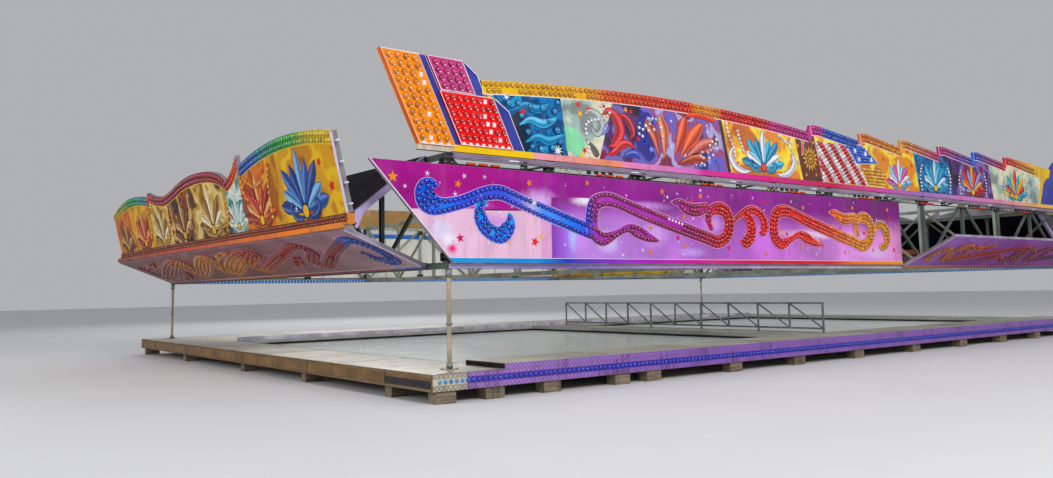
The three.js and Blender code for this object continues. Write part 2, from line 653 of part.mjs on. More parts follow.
// Rear crown: a low plain board over the rear girder
const REAR_CROWN_HEIGHT = 560;
const rearCrown = new THREE.Shape();
rearCrown.moveTo(POST_SIDE_INSET, ROOF_HIGH + SEAT);
rearCrown.lineTo(roofRight, ROOF_HIGH + SEAT);
rearCrown.lineTo(roofRight, ROOF_HIGH + REAR_CROWN_HEIGHT - 160);
rearCrown.quadraticCurveTo(DECK_LENGTH / 2, ROOF_HIGH + REAR_CROWN_HEIGHT + 160, POST_SIDE_INSET,
  ROOF_HIGH + REAR_CROWN_HEIGHT - 160);
place('rear_crown', standing(rearCrown, roofRear - 30, CROWN_THICKNESS), paint(0xb08a60, 0.6));

export default arena;
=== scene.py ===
"""Looks of the travelling bumper car arena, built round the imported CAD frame.

Each painted board is dressed in its own frame: x along the board, z up it, and y = 0 on the
painted face with negative y in front of it. Metres throughout.
"""

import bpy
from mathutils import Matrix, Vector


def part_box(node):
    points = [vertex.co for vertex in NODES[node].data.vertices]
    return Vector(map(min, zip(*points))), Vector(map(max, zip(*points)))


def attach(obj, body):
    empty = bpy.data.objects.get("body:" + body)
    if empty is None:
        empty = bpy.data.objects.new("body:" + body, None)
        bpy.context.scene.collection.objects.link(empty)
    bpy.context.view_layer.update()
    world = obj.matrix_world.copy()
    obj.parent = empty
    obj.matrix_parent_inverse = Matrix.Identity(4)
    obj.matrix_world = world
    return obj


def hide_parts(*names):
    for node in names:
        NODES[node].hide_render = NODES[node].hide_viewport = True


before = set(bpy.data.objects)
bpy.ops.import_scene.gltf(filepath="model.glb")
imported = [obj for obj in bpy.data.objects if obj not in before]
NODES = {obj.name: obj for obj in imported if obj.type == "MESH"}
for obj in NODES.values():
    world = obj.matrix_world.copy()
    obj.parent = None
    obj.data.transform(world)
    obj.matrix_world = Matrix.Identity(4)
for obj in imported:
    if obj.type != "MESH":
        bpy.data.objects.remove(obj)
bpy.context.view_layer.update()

import math
import random

import bpy
from mathutils import Matrix, Vector

DECK_BODY = "deck_and_roof"


def shift(x, y, z):
    return Matrix.Translation((x, y, z))


def turn(angle, axis):
    return Matrix.Rotation(math.radians(angle), 4, axis)


# The deck and its posts, from the front left corner of the walkway's top
DECK_LENGTH = 22.040
DECK_DEPTH = 14.600
POST_LEFT, POST_RIGHT = 0.616, 21.424
POST_FRONT, POST_REAR = 0.534, 14.066

# Frames of the boards
DECK = shift(-DECK_LENGTH / 2, -DECK_DEPTH / 2, 0.400)
ON_DECK = (DECK, DECK_BODY)
HINGE_RISE = 1.505
FLAP_FACE = 0.060
FLAP_HEIGHT = 1.400
BOARD_TOP = 1.398
WING = 1.319
SIDE_TILT = 67.85
FRONT_RIGHT_TILT = 64
FRONT_HINGE = DECK @ shift(0, 0.4697, HINGE_RISE)
FRONT_LEFT_FLAP = FRONT_HINGE @ shift(0, -FLAP_FACE, 0)
FRONT_RIGHT_FLAP = FRONT_HINGE @ turn(FRONT_RIGHT_TILT, "X") @ shift(0, -FLAP_FACE, 0)
REAR_HINGE = DECK @ shift(DECK_LENGTH, 14.1303, HINGE_RISE) @ turn(180, "Z")
REAR_FLAP = REAR_HINGE @ shift(0, -FLAP_FACE, 0)
LEFT_HINGE = DECK @ shift(0.5517, DECK_DEPTH, HINGE_RISE) @ turn(-90, "Z")
RIGHT_HINGE = DECK @ shift(21.4883, 0, HINGE_RISE) @ turn(90, "Z")
SIDE_FLAP = turn(SIDE_TILT, "X") @ shift(0, -FLAP_FACE, 0)
CROWN_HINGE = shift(0, -1.3267, 0.5185)
CROWN_LEAN = turn(13, "X")
LEFT_START, LEFT_END = 0.700, 13.560
RIGHT_START, RIGHT_END = 1.040, 13.900
LEFT_CROWN = LEFT_HINGE @ CROWN_HINGE @ shift(LEFT_START, 0.078, 0.1903) @ CROWN_LEAN
RIGHT_CROWN = RIGHT_HINGE @ CROWN_HINGE @ shift(RIGHT_START, 0.078, 0.1903) @ CROWN_LEAN
CROWN_LENGTH = LEFT_END - LEFT_START
FRONT_CROWN = DECK @ shift(0, 0.4337, 0)
PANEL_PROUD = 0.0403


# Shader node groups: effects that several materials share

class Wiring:
    """Adds nodes to one node tree and joins them."""

    def __init__(self, tree):
        self.tree = tree
        self.place = None

    def node(self, kind, **settings):
        made = self.tree.nodes.new(kind)
        for key, value in settings.items():
            setattr(made, key, value)
        return made

    def put(self, socket, value):
        if isinstance(value, bpy.types.NodeSocket):
            self.tree.links.new(value, socket)
        else:
            socket.default_value = value

    def maths(self, operation, first, second=0.0, third=0.0):
        made = self.node("ShaderNodeMath", operation=operation)
        for socket, value in zip(made.inputs, (first, second, third)):
            self.put(socket, value)
        return made.outputs[0]

    def times(self, first, second):
        return self.maths("MULTIPLY", first, second)

    def position(self):
        if self.place is None:
            self.place = self.node("ShaderNodeTexCoord").outputs["Object"]
        return self.place

    def axis(self, name, vector=None):
        split = self.node("ShaderNodeSeparateXYZ")
        self.put(split.inputs[0], vector or self.position())
        return split.outputs[name]

    def noise(self, scale, detail=3.0, rough=0.5, vector=None):
        made = self.node("ShaderNodeTexNoise")
        self.put(made.inputs["Vector"], vector or self.position())
        self.put(made.inputs["Scale"], scale)
        made.inputs["Detail"].default_value = detail
        made.inputs["Roughness"].default_value = rough
        return made.outputs[0]

    def mapped(self, setting, values):
        """The position, with the Scale or the Rotation of a mapping set to the values."""
        made = self.node("ShaderNodeMapping", vector_type="POINT")
        self.put(made.inputs["Vector"], self.position())
        made.inputs[setting].default_value = values
        return made.outputs[0]

    def spread(self, value, low, high, to_low=0.0, to_high=1.0, smooth=True):
        made = self.node("ShaderNodeMapRange", interpolation_type="SMOOTHSTEP" if smooth else "LINEAR")
        for socket, given in zip(made.inputs, (value, low, high, to_low, to_high)):
            self.put(socket, given)
        return made.outputs[0]

    def ramp(self, value, stops):
        made = self.node("ShaderNodeValToRGB")
        points = made.color_ramp.elements
        while len(points) > 1:
            points.remove(points[0])
        points[0].position = stops[0][0]
        points[0].color = (*stops[0][1], 1)
        for place, colour in stops[1:]:
            points.new(place).color = (*colour, 1)
        self.put(made.inputs[0], value)
        return made.outputs[0]

    def mix(self, amount, first, second, mode="MIX"):
        made = self.node("ShaderNodeMix", data_type="RGBA", blend_type=mode)
        self.put(made.inputs["Factor"], amount)
        for name, value in (("A", first), ("B", second)):
            socket = [s for s in made.inputs if s.name == name and s.type == "RGBA"][0]
            self.put(socket, value if isinstance(value, bpy.types.NodeSocket) else (*value, 1))
        return [s for s in made.outputs if s.type == "RGBA"][0]

    def dimmed(self, base, factor):
        return self.mix(1.0, base, (factor, factor, factor), "MULTIPLY")

    def group(self, tree, **values):
        """Adds a shared effect, which takes the position where no Vector is given."""
        made = self.node("ShaderNodeGroup", node_tree=tree)
        for name, value in {"Vector": self.position(), **values}.items():
            self.put(made.inputs[name], value)
        return made.outputs

    def bump(self, height, strength, distance):
        made = self.node("ShaderNodeBump")
        made.inputs["Strength"].default_value = strength
        made.inputs["Distance"].default_value = distance
        self.put(made.inputs["Height"], height)
        return made.outputs[0]


def effect(name, inputs, outputs):
    """Turns a function of a wiring and its input sockets into a node group with a Vector input too."""
    def made_group(outputs_of):
        tree = bpy.data.node_groups.new(name, "ShaderNodeTree")
        sockets = tree.interface
        sockets.new_socket("Vector", in_out="INPUT", socket_type="NodeSocketVector")
        for label, value in inputs.items():
            sockets.new_socket(label, in_out="INPUT", socket_type="NodeSocketFloat").default_value = value
        for label in outputs:
            sockets.new_socket(label, in_out="OUTPUT", socket_type="NodeSocketFloat")
        wires = Wiring(tree)
        given = wires.node("NodeGroupInput").outputs
        wires.place = given["Vector"]
        results = outputs_of(wires, *(given[label] for label in inputs))
        for socket, value in zip(wires.node("NodeGroupOutput").inputs, results):
            wires.put(socket, value)
        return tree
    return made_group


@effect("Scuffs", {"Scale": 4.0, "Amount": 0.5}, ["Mask", "Height"])
def scuffs(wires, scale, amount):
    """Fine scratches and rubbed patches. Mask is 1 where the surface is rubbed."""
    patches = wires.noise(scale, 5.0, 0.65)
    fine = wires.noise(wires.times(scale, 9.0), 3.0, 0.7)
    both = wires.maths("MULTIPLY_ADD", fine, 0.35, wires.times(patches, 0.8))
    start = wires.maths("SUBTRACT", 0.86, wires.times(amount, 0.35))
    return wires.spread(both, start, wires.maths("ADD", start, 0.14)), both


@effect("Rain_streaks", {"Scale": 6.0, "Amount": 0.5}, ["Mask"])
def streaks(wires, scale, amount):
    """Dirt that has run down from above. Mask is 1 in the dirt."""
    runs = wires.noise(scale, 4.0, 0.6, wires.mapped("Scale", (1.0, 1.0, 0.08)))
    broad = wires.noise(wires.times(scale, 0.2), 3.0, 0.5)
    both = wires.times(runs, wires.times(broad, 2.0))
    return [wires.times(wires.spread(both, 0.42, 0.8), amount)]


@effect("Airbrush_clouds", {"Scale": 1.2}, ["Value", "Fine"])
def clouds(wires, scale):
    """Soft airbrushed clouds. Value runs from 0 to 1."""
    fine = wires.noise(wires.times(scale, 6.0), 4.0, 0.6)
    return wires.spread(wires.noise(scale, 2.0, 0.45), 0.32, 0.68), fine


@effect("Chequer_plate", {"Pitch": 0.05}, ["Height"])
def chequer(wires, pitch):
    """Chequer plate: short raised bars, each at right angles to its neighbours."""
    turned = wires.mapped("Rotation", (0, 0, math.radians(45)))
    x, y = (wires.maths("DIVIDE", wires.axis(name, turned), pitch) for name in "XY")
    cell = wires.maths("ADD", wires.maths("FLOOR", x), wires.maths("FLOOR", y))
    parity = wires.maths("FLOORED_MODULO", cell, 2.0)
    across, along = (wires.maths("ABSOLUTE", wires.maths("SUBTRACT", wires.maths("FRACT", part), 0.5))
                     for part in (x, y))
    bars = []
    for first, second in ((across, along), (along, across)):
        thin = wires.spread(first, 0.10, 0.20, 1.0, 0.0)
        bars.append(wires.times(thin, wires.spread(second, 0.34, 0.46, 1.0, 0.0)))
    picked = wires.node("ShaderNodeMix", data_type="FLOAT")
    for socket, value in zip(picked.inputs[:1] + picked.inputs[2:4], (parity, *bars)):
        wires.put(socket, value)
    return [picked.outputs[0]]


@effect("Star_dust", {"Scale": 6.0, "Size": 0.1}, ["Mask"])
def sparkle(wires, scale, size):
    """Small round specks, scattered. Mask is 1 in a speck."""
    cells = wires.node("ShaderNodeTexVoronoi", feature="F1")
    wires.put(cells.inputs["Vector"], wires.position())
    wires.put(cells.inputs["Scale"], scale)
    return [wires.spread(cells.outputs["Distance"], wires.times(size, 0.6), size, 1.0, 0.0)]


@effect("Soft_spot", {"Ragged": 0.5, "X": 0.0, "Z": 0.0, "Across": 1.0, "Up": 1.0}, ["Mask"])
def soft_spot(wires, ragged, x, z, across, up):
    """One soft airbrushed spot in the board's x and z. Mask is 1 in its middle."""
    squared = []
    for axis, middle, reach in (("X", x, across), ("Z", z, up)):
        away = wires.maths("DIVIDE", wires.maths("SUBTRACT", wires.axis(axis), middle), reach)
        squared.append(wires.times(away, away))
    distance = wires.maths("SQRT", wires.maths("ADD", *squared))
    return [wires.spread(wires.maths("MULTIPLY_ADD", ragged, 0.5, distance), 0.35, 1.25, 1.0, 0.0)]


@effect("Airbrushed_swirls", {"Scale": 1.5, "Pull": 0.8}, ["Value"])
def swirls(wires, scale, pull):
    """Airbrushed swirls: clouds pulled about by other clouds. Value runs from 0 to 1."""
    first = wires.node("ShaderNodeTexNoise")
    wires.put(first.inputs["Vector"], wires.position())
    wires.put(first.inputs["Scale"], scale)
    pulled = wires.node("ShaderNodeVectorMath", operation="MULTIPLY_ADD")
    for socket, value in zip(pulled.inputs, (first.outputs["Color"], pull, wires.position())):
        wires.put(socket, value)
    second = wires.noise(wires.times(scale, 1.3), 2.0, 0.4, pulled.outputs[0])
    return [wires.spread(second, 0.30, 0.70, smooth=False)]


# Materials

class Finish(Wiring):
    """A material with one Principled shader, and the wiring to feed it."""

    def __init__(self, name, roughness=0.4, metallic=0.0, coat=0.0, specular=0.5):
        self.material = bpy.data.materials.new(name)
        self.material.use_nodes = True
        super().__init__(self.material.node_tree)
        self.shader = self.material.node_tree.nodes["Principled BSDF"]
        for label, value in (("Roughness", roughness), ("Metallic", metallic),
                             ("Coat Weight", coat), ("Specular IOR Level", specular)):
            self.shader.inputs[label].default_value = value
        self.shader.inputs["Coat Roughness"].default_value = 0.08

    def done(self, base, rough, bump=None):
        """The finished material, from its colour, its roughness as a spread, and its bump."""
        self.put(self.shader.inputs["Base Color"], base)
        self.put(self.shader.inputs["Roughness"], self.spread(*rough))
        if bump:
            self.put(self.shader.inputs["Normal"], self.bump(*bump))
        return self.material


VIVID = 1.16
DEEPEN = 0.80
PAINT_SPECULAR = 0.14
GRIME = 0.25
RUST = "#6a4a30"


def colour(hexes):
    """A linear colour from a #rrggbb sRGB one, made more vivid for the soft studio light."""
    parts = [int(hexes[i:i + 2], 16) / 255 for i in (1, 3, 5)]
    linear = [p / 12.92 if p <= 0.04045 else ((p + 0.055) / 1.055) ** 2.4 for p in parts]
    grey = 0.3 * linear[0] + 0.5 * linear[1] + 0.2 * linear[2]
    return tuple(min(1.0, max(0.0, (grey + (p - grey) * VIVID) * DEEPEN)) for p in linear)


def shade(rgb, factor):
    return tuple(min(1.0, c * factor) for c in rgb)


def along_x(finish, low, high, stops):
    """A colour that changes along x, from stops given as (x, colour)."""
    part = finish.spread(finish.axis("X"), low, high, smooth=False)
    return finish.ramp(part, [((x - low) / (high - low), colour(c)) for x, c in stops])


def lamp_plastic(name, stops, low, high):
    """Glossy moulded lamp caps, coloured along x, each a little different from its neighbour."""
    finish = Finish(name, roughness=0.16, coat=0.6, specular=0.6)
    base = along_x(finish, low, high, stops)
    tone = finish.mix(finish.spread(finish.noise(9.0, 1.0), 0.35, 0.65), (0.55, 0.55, 0.55), (1, 1, 1))
    grain = finish.noise(120.0, 2.0)
    base = finish.mix(1.0, base, tone, "MULTIPLY")
    return finish.done(base, (grain, 0.3, 0.8, 0.10, 0.24), (grain, 0.15, 0.001))


def lamp_collar(name, stops, low, high, factor):
    """The dark shadowed collar round a lamp cap's foot."""
    finish = Finish(name, roughness=0.4, coat=0.2)
    base = finish.dimmed(along_x(finish, low, high, stops), factor)
    return finish.done(base, (finish.noise(60.0), 0.3, 0.7, 0.3, 0.5))


def weathered(finish, base, dirt=GRIME):
    """Rubbed patches, rain streaks and an uneven gloss over a painted colour."""
    fine = finish.group(clouds, Scale=1.4)["Fine"]
    rubbed = finish.group(scuffs, Scale=3.0, Amount=0.3)
    runs = finish.group(streaks, Scale=7.0, Amount=dirt)
    base = finish.mix(finish.times(rubbed["Mask"], 0.22), base, (0.70, 0.66, 0.70))
    base = finish.mix(runs["Mask"], base, (0.10, 0.085, 0.08))
    return finish.done(base, (fine, 0.25, 0.75, 0.32, 0.52), (rubbed["Height"], 0.08, 0.002))


def board_paint(name, stops, low=0.0, high=22.0, cloud=0.25, scale=1.4, light=1.5, dark=0.65, coat=0.04,
                dirt=GRIME, dust=0.0, glows=(), upper=None, fade=(0.45, 1.15)):
    """Gloss sign paint, coloured along x, with airbrushed clouds, a rub here and there and grime.

    Each glow is a soft spot: (x, z, radius across, radius up, colour). The upper stops take over
    higher up the board, between the two heights in fade.
    """
    finish = Finish(name, coat=coat, specular=PAINT_SPECULAR)
    base = along_x(finish, low, high, stops)
    if upper:
        base = finish.mix(finish.spread(finish.axis("Z"), *fade), base, along_x(finish, low, high, upper))
    cloud_map = finish.group(clouds, Scale=scale)
    clouded = finish.mix(cloud_map["Value"], finish.dimmed(base, dark), finish.dimmed(base, light))
    base = finish.mix(cloud, base, clouded)
    for x, z, across, up, hexes in glows:
        spot = finish.group(soft_spot, Ragged=cloud_map["Fine"], X=x, Z=z, Across=across, Up=up)
        base = finish.mix(spot["Mask"], base, colour(hexes))
    if dust:
        specks = finish.group(sparkle, Scale=2.6, Size=dust)
        base = finish.mix(specks["Mask"], base, (0.95, 0.93, 1.0))
    return weathered(finish, base, dirt)


def mural(name, hexes, scale, pull):
    """An airbrushed ground of swirls that drift through several colours."""
    finish = Finish(name, coat=0.04, specular=PAINT_SPECULAR)
    swirl = finish.group(swirls, Scale=scale, Pull=pull)
    stops = []
    for i, hexed in enumerate(hexes):
        stops += [((i + part) / len(hexes), colour(hexed)) for part in (0.2, 0.8)]
    return weathered(finish, finish.ramp(swirl["Value"], stops))


def flat_paint(name, hexes, **how):
    return board_paint(name, [(0.0, hexes), (22.0, hexes)], **how)


def worn_metal(name, hexes, metallic, rough=(0.35, 0.65), wear=0.4, streak=0.35):
    """Painted or bare steel with rubbed patches and rusty runs."""
    finish = Finish(name, roughness=0.5, metallic=metallic)
    base = colour(hexes)
    patch = finish.group(clouds, Scale=2.2)
    rubbed = finish.group(scuffs, Scale=6.0, Amount=wear)
    runs = finish.group(streaks, Scale=9.0, Amount=streak)
    tone = finish.mix(patch["Value"], shade(base, 0.72), shade(base, 1.25))
    tone = finish.mix(finish.times(rubbed["Mask"], 0.6), tone, shade(base, 1.7))
    tone = finish.mix(runs["Mask"], tone, colour(RUST))
    return finish.done(tone, (patch["Fine"], 0.25, 0.75, *rough), (rubbed["Height"], 0.2, 0.003))


def tread_steel():
    """Walkway chequer plate, blue grey, paler on its raised bars where it is walked on; the pale bars are
    also a painted highlight.
    """
    finish = Finish("walkway_tread_plate", roughness=0.4, metallic=0.55)
    bars = finish.group(chequer, Pitch=0.055)
    patch = finish.group(clouds, Scale=0.9)
    rubbed = finish.group(scuffs, Scale=2.0, Amount=0.6)
    tone = finish.mix(patch["Value"], colour("#989284"), colour("#c6bfae"))
    # The raised bars made paler: real wear from feet, and a painted highlight as well.
    tone = finish.mix(finish.times(bars["Height"], 0.6), tone, colour("#eee8d8"))
    tone = finish.mix(finish.times(rubbed["Mask"], 0.5), tone, colour("#746a58"))
    return finish.done(tone, (patch["Fine"], 0.25, 0.75, 0.28, 0.5), (bars["Height"], 0.6, 0.003))


def edge_tread(name, stops, high=22.0):
    """Chequer plate on an upright edge, coloured along it, with painted shade on the flat plate between the
    raised bars.
    """
    finish = Finish(name, roughness=0.45, metallic=0.35, specular=0.3)
    upright = finish.mapped("Rotation", (math.radians(90), 0, 0))
    bars = finish.group(chequer, Vector=upright, Pitch=0.052)
    base = along_x(finish, 0.0, high, stops)
    # The flat plate between the bars is darkened: painted shade.
    darker = finish.mix(1.0, base, (0.55, 0.52, 0.55), "MULTIPLY")
    worn = finish.group(streaks, Scale=8.0, Amount=0.5)
    tone = finish.mix(worn["Mask"], finish.mix(bars["Height"], darker, base), colour("#3c3228"))
    return finish.done(tone, (finish.noise(14.0), 0.3, 0.7, 0.35, 0.6), (bars["Height"], 0.6, 0.003))


def floor_steel():
    """Driving floor: bright rolled steel plates with long faint scratches."""
    finish = Finish("driving_floor_steel", roughness=0.25, metallic=0.45)
    plates = finish.node("ShaderNodeTexBrick", offset=0.5)
    finish.put(plates.inputs["Vector"], finish.position())
    for label, value in (("Scale", 1.0), ("Mortar Size", 0.006), ("Brick Width", 2.45), ("Row Height", 1.22),
                         ("Mortar Smooth", 0.1), ("Bias", 0.0)):
        plates.inputs[label].default_value = value
    for label, hexes in (("Color1", "#eef8f1"), ("Color2", "#fafffa"), ("Mortar", "#3c403c")):
        plates.inputs[label].default_value = (*colour(hexes), 1)
    long_way = finish.mapped("Scale", (0.3, 2.5, 1.0))
    scratch = finish.spread(finish.noise(5.0, 5.0, 0.65, long_way), 0.52, 0.75)
    rubbed = finish.group(scuffs, Scale=1.4, Amount=0.7)
    tone = finish.mix(finish.times(scratch, 0.12), plates.outputs["Color"], colour("#ffffff"))
    tone = finish.mix(finish.times(rubbed["Mask"], 0.07), tone, colour("#8c938a"))
    joints = finish.maths("SUBTRACT", 1.0, plates.outputs["Fac"])
    return finish.done(tone, (rubbed["Height"], 0.35, 0.8, 0.22, 0.28), (joints, 0.3, 0.003))


def bearer_finish():
    """Rusty steel beams above, timber packing blocks below."""
    finish = Finish("bearer_and_timber", roughness=0.7, metallic=0.1)
    grain = finish.noise(1.0, 5.0, 0.65, finish.mapped("Scale", (3.0, 40.0, 40.0)))
    timber = finish.mix(finish.spread(grain, 0.3, 0.7), colour("#5c5044"), colour("#a3937c"))
    steel = finish.mix(finish.noise(7.0, 4.0), colour("#4b453f"), colour("#84786a"))
    above = finish.maths("GREATER_THAN", finish.axis("Z"), 0.17)
    dirt = finish.group(streaks, Scale=6.0, Amount=0.6)
    tone = finish.mix(dirt["Mask"], finish.mix(above, timber, steel), colour("#2b2620"))
    return finish.done(tone, (grain, 0.3, 0.7, 0.6, 0.85), (grain, 0.4, 0.004))


def canvas_roll():
    """The rolled roof cover: coated yellow canvas with creases along the roll, darker in their hollows as
    painted shade.
    """
    finish = Finish("roof_cover_canvas", roughness=0.5, coat=0.1)
    creases = finish.noise(3.0, 4.0, 0.6, finish.mapped("Scale", (0.6, 5.0, 5.0)))
    weave = finish.noise(220.0, 2.0)
    # The colour follows the crease height, darker in the hollows: painted shade.
    tone = finish.mix(finish.spread(creases, 0.3, 0.7), colour("#c58c00"), colour("#ffd21a"))
    stained = finish.group(scuffs, Scale=2.5, Amount=0.4)
    tone = finish.mix(finish.times(stained["Mask"], 0.5), tone, colour("#7d6420"))
    folds = finish.maths("MULTIPLY_ADD", weave, 0.1, creases)
    return finish.done(tone, (weave, 0.3, 0.7, 0.42, 0.62), (folds, 0.5, 0.02))


# Meshes

PATH_STEP = 0.03
THINNEST = 0.003


def smooth_path(points):
    """Points (x, z, half width) on a smooth curve through the given ones, closely spaced."""
    rows = [Vector(p) for p in points]
    rows = [rows[0] * 2 - rows[1], *rows, rows[-1] * 2 - rows[-2]]
    path = []
    for a, b, c, d in zip(rows, rows[1:], rows[2:], rows[3:]):
        steps = max(2, int((c - b).length / PATH_STEP))
        for i in range(steps):
            t = i / steps
            path.append(0.5 * (2 * b + (c - a) * t + (2 * a - 5 * b + 4 * c - d) * t ** 2
                               + (3 * b - a - 3 * c + d) * t ** 3))
    path.append(rows[-2].copy())
    return path


def sideways(path):
    """The unit normal, in x and z, at each point of a path."""
    normals = []
    for i in range(len(path)):
        a = path[max(0, i - 1)]
        b = path[min(len(path) - 1, i + 1)]
        step = Vector((b.x - a.x, b.y - a.y))
        step = step.normalized() if step.length > 1e-9 else Vector((1, 0))
        normals.append(Vector((-step.y, step.x)))
    return normals


def evenly(path, pitch, start=0.0):
    """Places (x, z) at a pitch along a path."""
    side = [p.xy for p in path]
    found = []
    run = -start
    for a, b in zip(side, side[1:]):
        length = (b - a).length
        while length > 0 and run <= length:
            if run >= 0:
                found.append(a + (b - a) * (run / length))
            run += pitch
        run -= length
    return found


def area_of(outline):
    """Twice an outline's area, below 0 where its corners run clockwise."""
    return sum(a[0] * b[1] - b[0] * a[1] for a, b in zip(outline, outline[1:] + outline[:1]))


def disc(x, z, radius, sides=20):
    angles = [2 * math.pi * k / sides for k in range(sides)]
    return [(x + math.cos(angle) * radius, z + math.sin(angle) * radius) for angle in angles]


def star(x, z, radius, lean=0.0, points=5, waist=0.42):
    outline = []
    for k in range(2 * points):
        angle = math.pi * k / points + lean
        reach = radius * (waist if k % 2 else 1)
        outline.append((x + math.sin(angle) * reach, z + math.cos(angle) * reach))
    return outline


def run(start, end, pitch):
    """Places at a pitch from start on, short of end."""
    while start < end:
        yield start
        start += pitch


# A lamp cap's rings: the size of each and how far it stands out, in parts of the radius
CAP_RINGS = ((1.0, 0.0), (1.0, 0.22), (0.84, 0.52), (0.46, 0.76))
CAP_TIP = 0.84


class Piece:
    """One mesh in the making: closed plates and lamp caps, with a material for each face."""

    def __init__(self):
        self.points = []
        self.faces = []
        self.marks = []
        self.smooth = []
        self.materials = []

    def mark(self, material):
        if material not in self.materials:
            self.materials.append(material)
        return self.materials.index(material)

    def face(self, corners, mark, smooth=False):
        self.faces.append(corners)
        self.marks.append(mark)
        self.smooth.append(smooth)

    def wall(self, low, high, count, mark, smooth=False):
        """Joins two rings of points, each given by the number of its first point."""
        for k in range(count):
            m = (k + 1) % count
            self.face([low + k, low + m, high + m, high + k], mark, smooth)

    def plate(self, outline, material, lift=0.0, thick=0.002):
        """A flat plate with the outline (x, z), its back at y = -lift."""
        outline = list(outline) if area_of(outline) > 0 else list(reversed(outline))
        first = len(self.points)
        count = len(outline)
        for y in (-lift - thick, -lift):
            self.points += [(x, y, z) for x, z in outline]
        mark = self.mark(material)
        self.face(list(range(first, first + count)), mark)
        self.face(list(range(first + 2 * count - 1, first + count - 1, -1)), mark)
        self.wall(first + count, first, count, mark)

    def bar(self, low, high, material, lift=0.0, thick=0.002):
        """A rectangular plate from its lowest to its highest corner (x, z)."""
        (x0, z0), (x1, z1) = low, high
        self.plate([(x0, z0), (x1, z0), (x1, z1), (x0, z1)], material, lift, thick)

    def strip(self, left, right, material, lift, thick):
        """A closed band between two rows of places (x, z)."""
        first = len(self.points)
        mark = self.mark(material)
        for (ax, az), (bx, bz) in zip(left, right):
            self.points += [
                (ax, -lift - thick, az), (bx, -lift - thick, bz), (bx, -lift, bz), (ax, -lift, az)]
        last = len(self.points) - 4
        for a in range(first, last, 4):
            self.wall(a, a + 4, 4, mark)
        self.face([first + 3, first + 2, first + 1, first], mark)
        self.face([last, last + 1, last + 2, last + 3], mark)

    def ribbon(self, path, material, lift=0.0, thick=0.002, grow=0.0):
        """A band that follows a path of (x, z, half width)."""
        sides = []
        for sign in (1, -1):
            reaches = [sign * (max(p.z, THINNEST) + grow) for p in path]
            sides.append([(p.x + n.x * r, p.y + n.y * r) for p, n, r in zip(path, sideways(path), reaches)])
        self.strip(*sides, material, lift, thick)

    def lamp(self, x, z, radius, cap, collar, lift, sides=12):
        """A lamp cap: a short collar, a bulging skirt and a rounded top."""
        first = len(self.points)
        for size, rise in CAP_RINGS:
            self.points += [
                (across, -lift - radius * rise, up) for across, up in disc(x, z, radius * size, sides)]
        self.points.append((x, -lift - radius * CAP_TIP, z))
        tip = len(self.points) - 1
        marks = (self.mark(collar), self.mark(cap), self.mark(cap))
        for ring, mark in enumerate(marks):
            a = first + ring * sides
            self.wall(a, a + sides, sides, mark, ring > 0)
        top = tip - sides
        for k in range(sides):
            self.face([top + k, top + (k + 1) % sides, tip], marks[2], True)

    def block(self, low, high, material):
        """A box with bevelled edges, from its lowest to its highest corner."""
        x0, y0, z0 = low
        x1, y1, z1 = high
        mark = self.mark(material)
        cut = min(x1 - x0, y1 - y0, z1 - z0) * 0.15
        first = len(self.points)
        for y, inset in ((y0, cut), (y0 + cut, 0.0), (y1 - cut, 0.0), (y1, cut)):
            for x, z in ((x0, z0), (x1, z0), (x1, z1), (x0, z1)):
                self.points.append(
                    (x + (inset if x == x0 else -inset), y, z + (inset if z == z0 else -inset)))
        self.face([first + k for k in range(4)], mark)
        self.face([first + 15 - k for k in range(4)], mark)
        for a in (first, first + 4, first + 8):
            self.wall(a + 4, a, 4, mark)

    def tube(self, start, end, radius, material, sides=10):
        """A round bar with closed ends."""
        a = Vector(start)
        b = Vector(end)
        turned = (b - a).to_track_quat("Z", "Y")
        first = len(self.points)
        mark = self.mark(material)
        for centre in (a, b):
            self.points += [
                tuple(centre + turned @ Vector((x, y, 0)) * radius) for x, y in disc(0, 0, 1, sides)]
        self.face([first + sides - 1 - k for k in range(sides)], mark)
        self.face([first + sides + k for k in range(sides)], mark)
        self.wall(first, first + sides, sides, mark, True)

    def build(self, name, place, body, slot, replaces=()):
        mesh = bpy.data.meshes.new(name)
        mesh.from_pydata(self.points, [], self.faces)
        for material in self.materials:
            mesh.materials.append(material)
        mesh.polygons.foreach_set("material_index", self.marks)
        mesh.polygons.foreach_set("use_smooth", self.smooth)
        mesh.update()
        made = bpy.data.objects.new(name, mesh)
        bpy.context.scene.collection.objects.link(made)
        made.matrix_world = place
        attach(made, body)
        if replaces:
            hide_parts(*replaces)
        return made


def quadratic(a, b, c, steps):
    return [((1 - t) ** 2 * a[0] + 2 * t * (1 - t) * b[0] + t * t * c[0],
             (1 - t) ** 2 * a[1] + 2 * t * (1 - t) * b[1] + t * t * c[1])
            for t in (k / steps for k in range(steps + 1))]


class Spacing:
    """Keeps lamp caps from running into each other."""

    def __init__(self, gap):
        self.gap = gap
        self.cells = {}

    def free(self, x, z):
        column, row = int(x // self.gap), int(z // self.gap)
        for i in range(column - 1, column + 2):
            for j in range(row - 1, row + 2):
                for a, b in self.cells.get((i, j), ()):
                    if math.hypot(a - x, b - z) < self.gap:
                        return False
        self.cells.setdefault((column, row), []).append((x, z))
        return True


# Paints and plastics in use

# White lining paint, which also draws the painted highlights by the lamp panel caps.
WHITE_LINE_AND_GLINT = flat_paint("white_lining_and_glint", "#f4f0f6", cloud=0.1, dirt=0.2)
PALE_LINE = flat_paint("lining_pale_pink", "#e6b4e0", cloud=0.3, dirt=0.2)
RED = "#e01414"
AMBER = "#f2c010"
PAINTS = {}


def tint(hexes, **how):
    """One gloss paint per colour, made when first asked for."""
    if hexes not in PAINTS:
        PAINTS[hexes] = flat_paint("paint_" + hexes[1:], hexes, **how)
    return PAINTS[hexes]


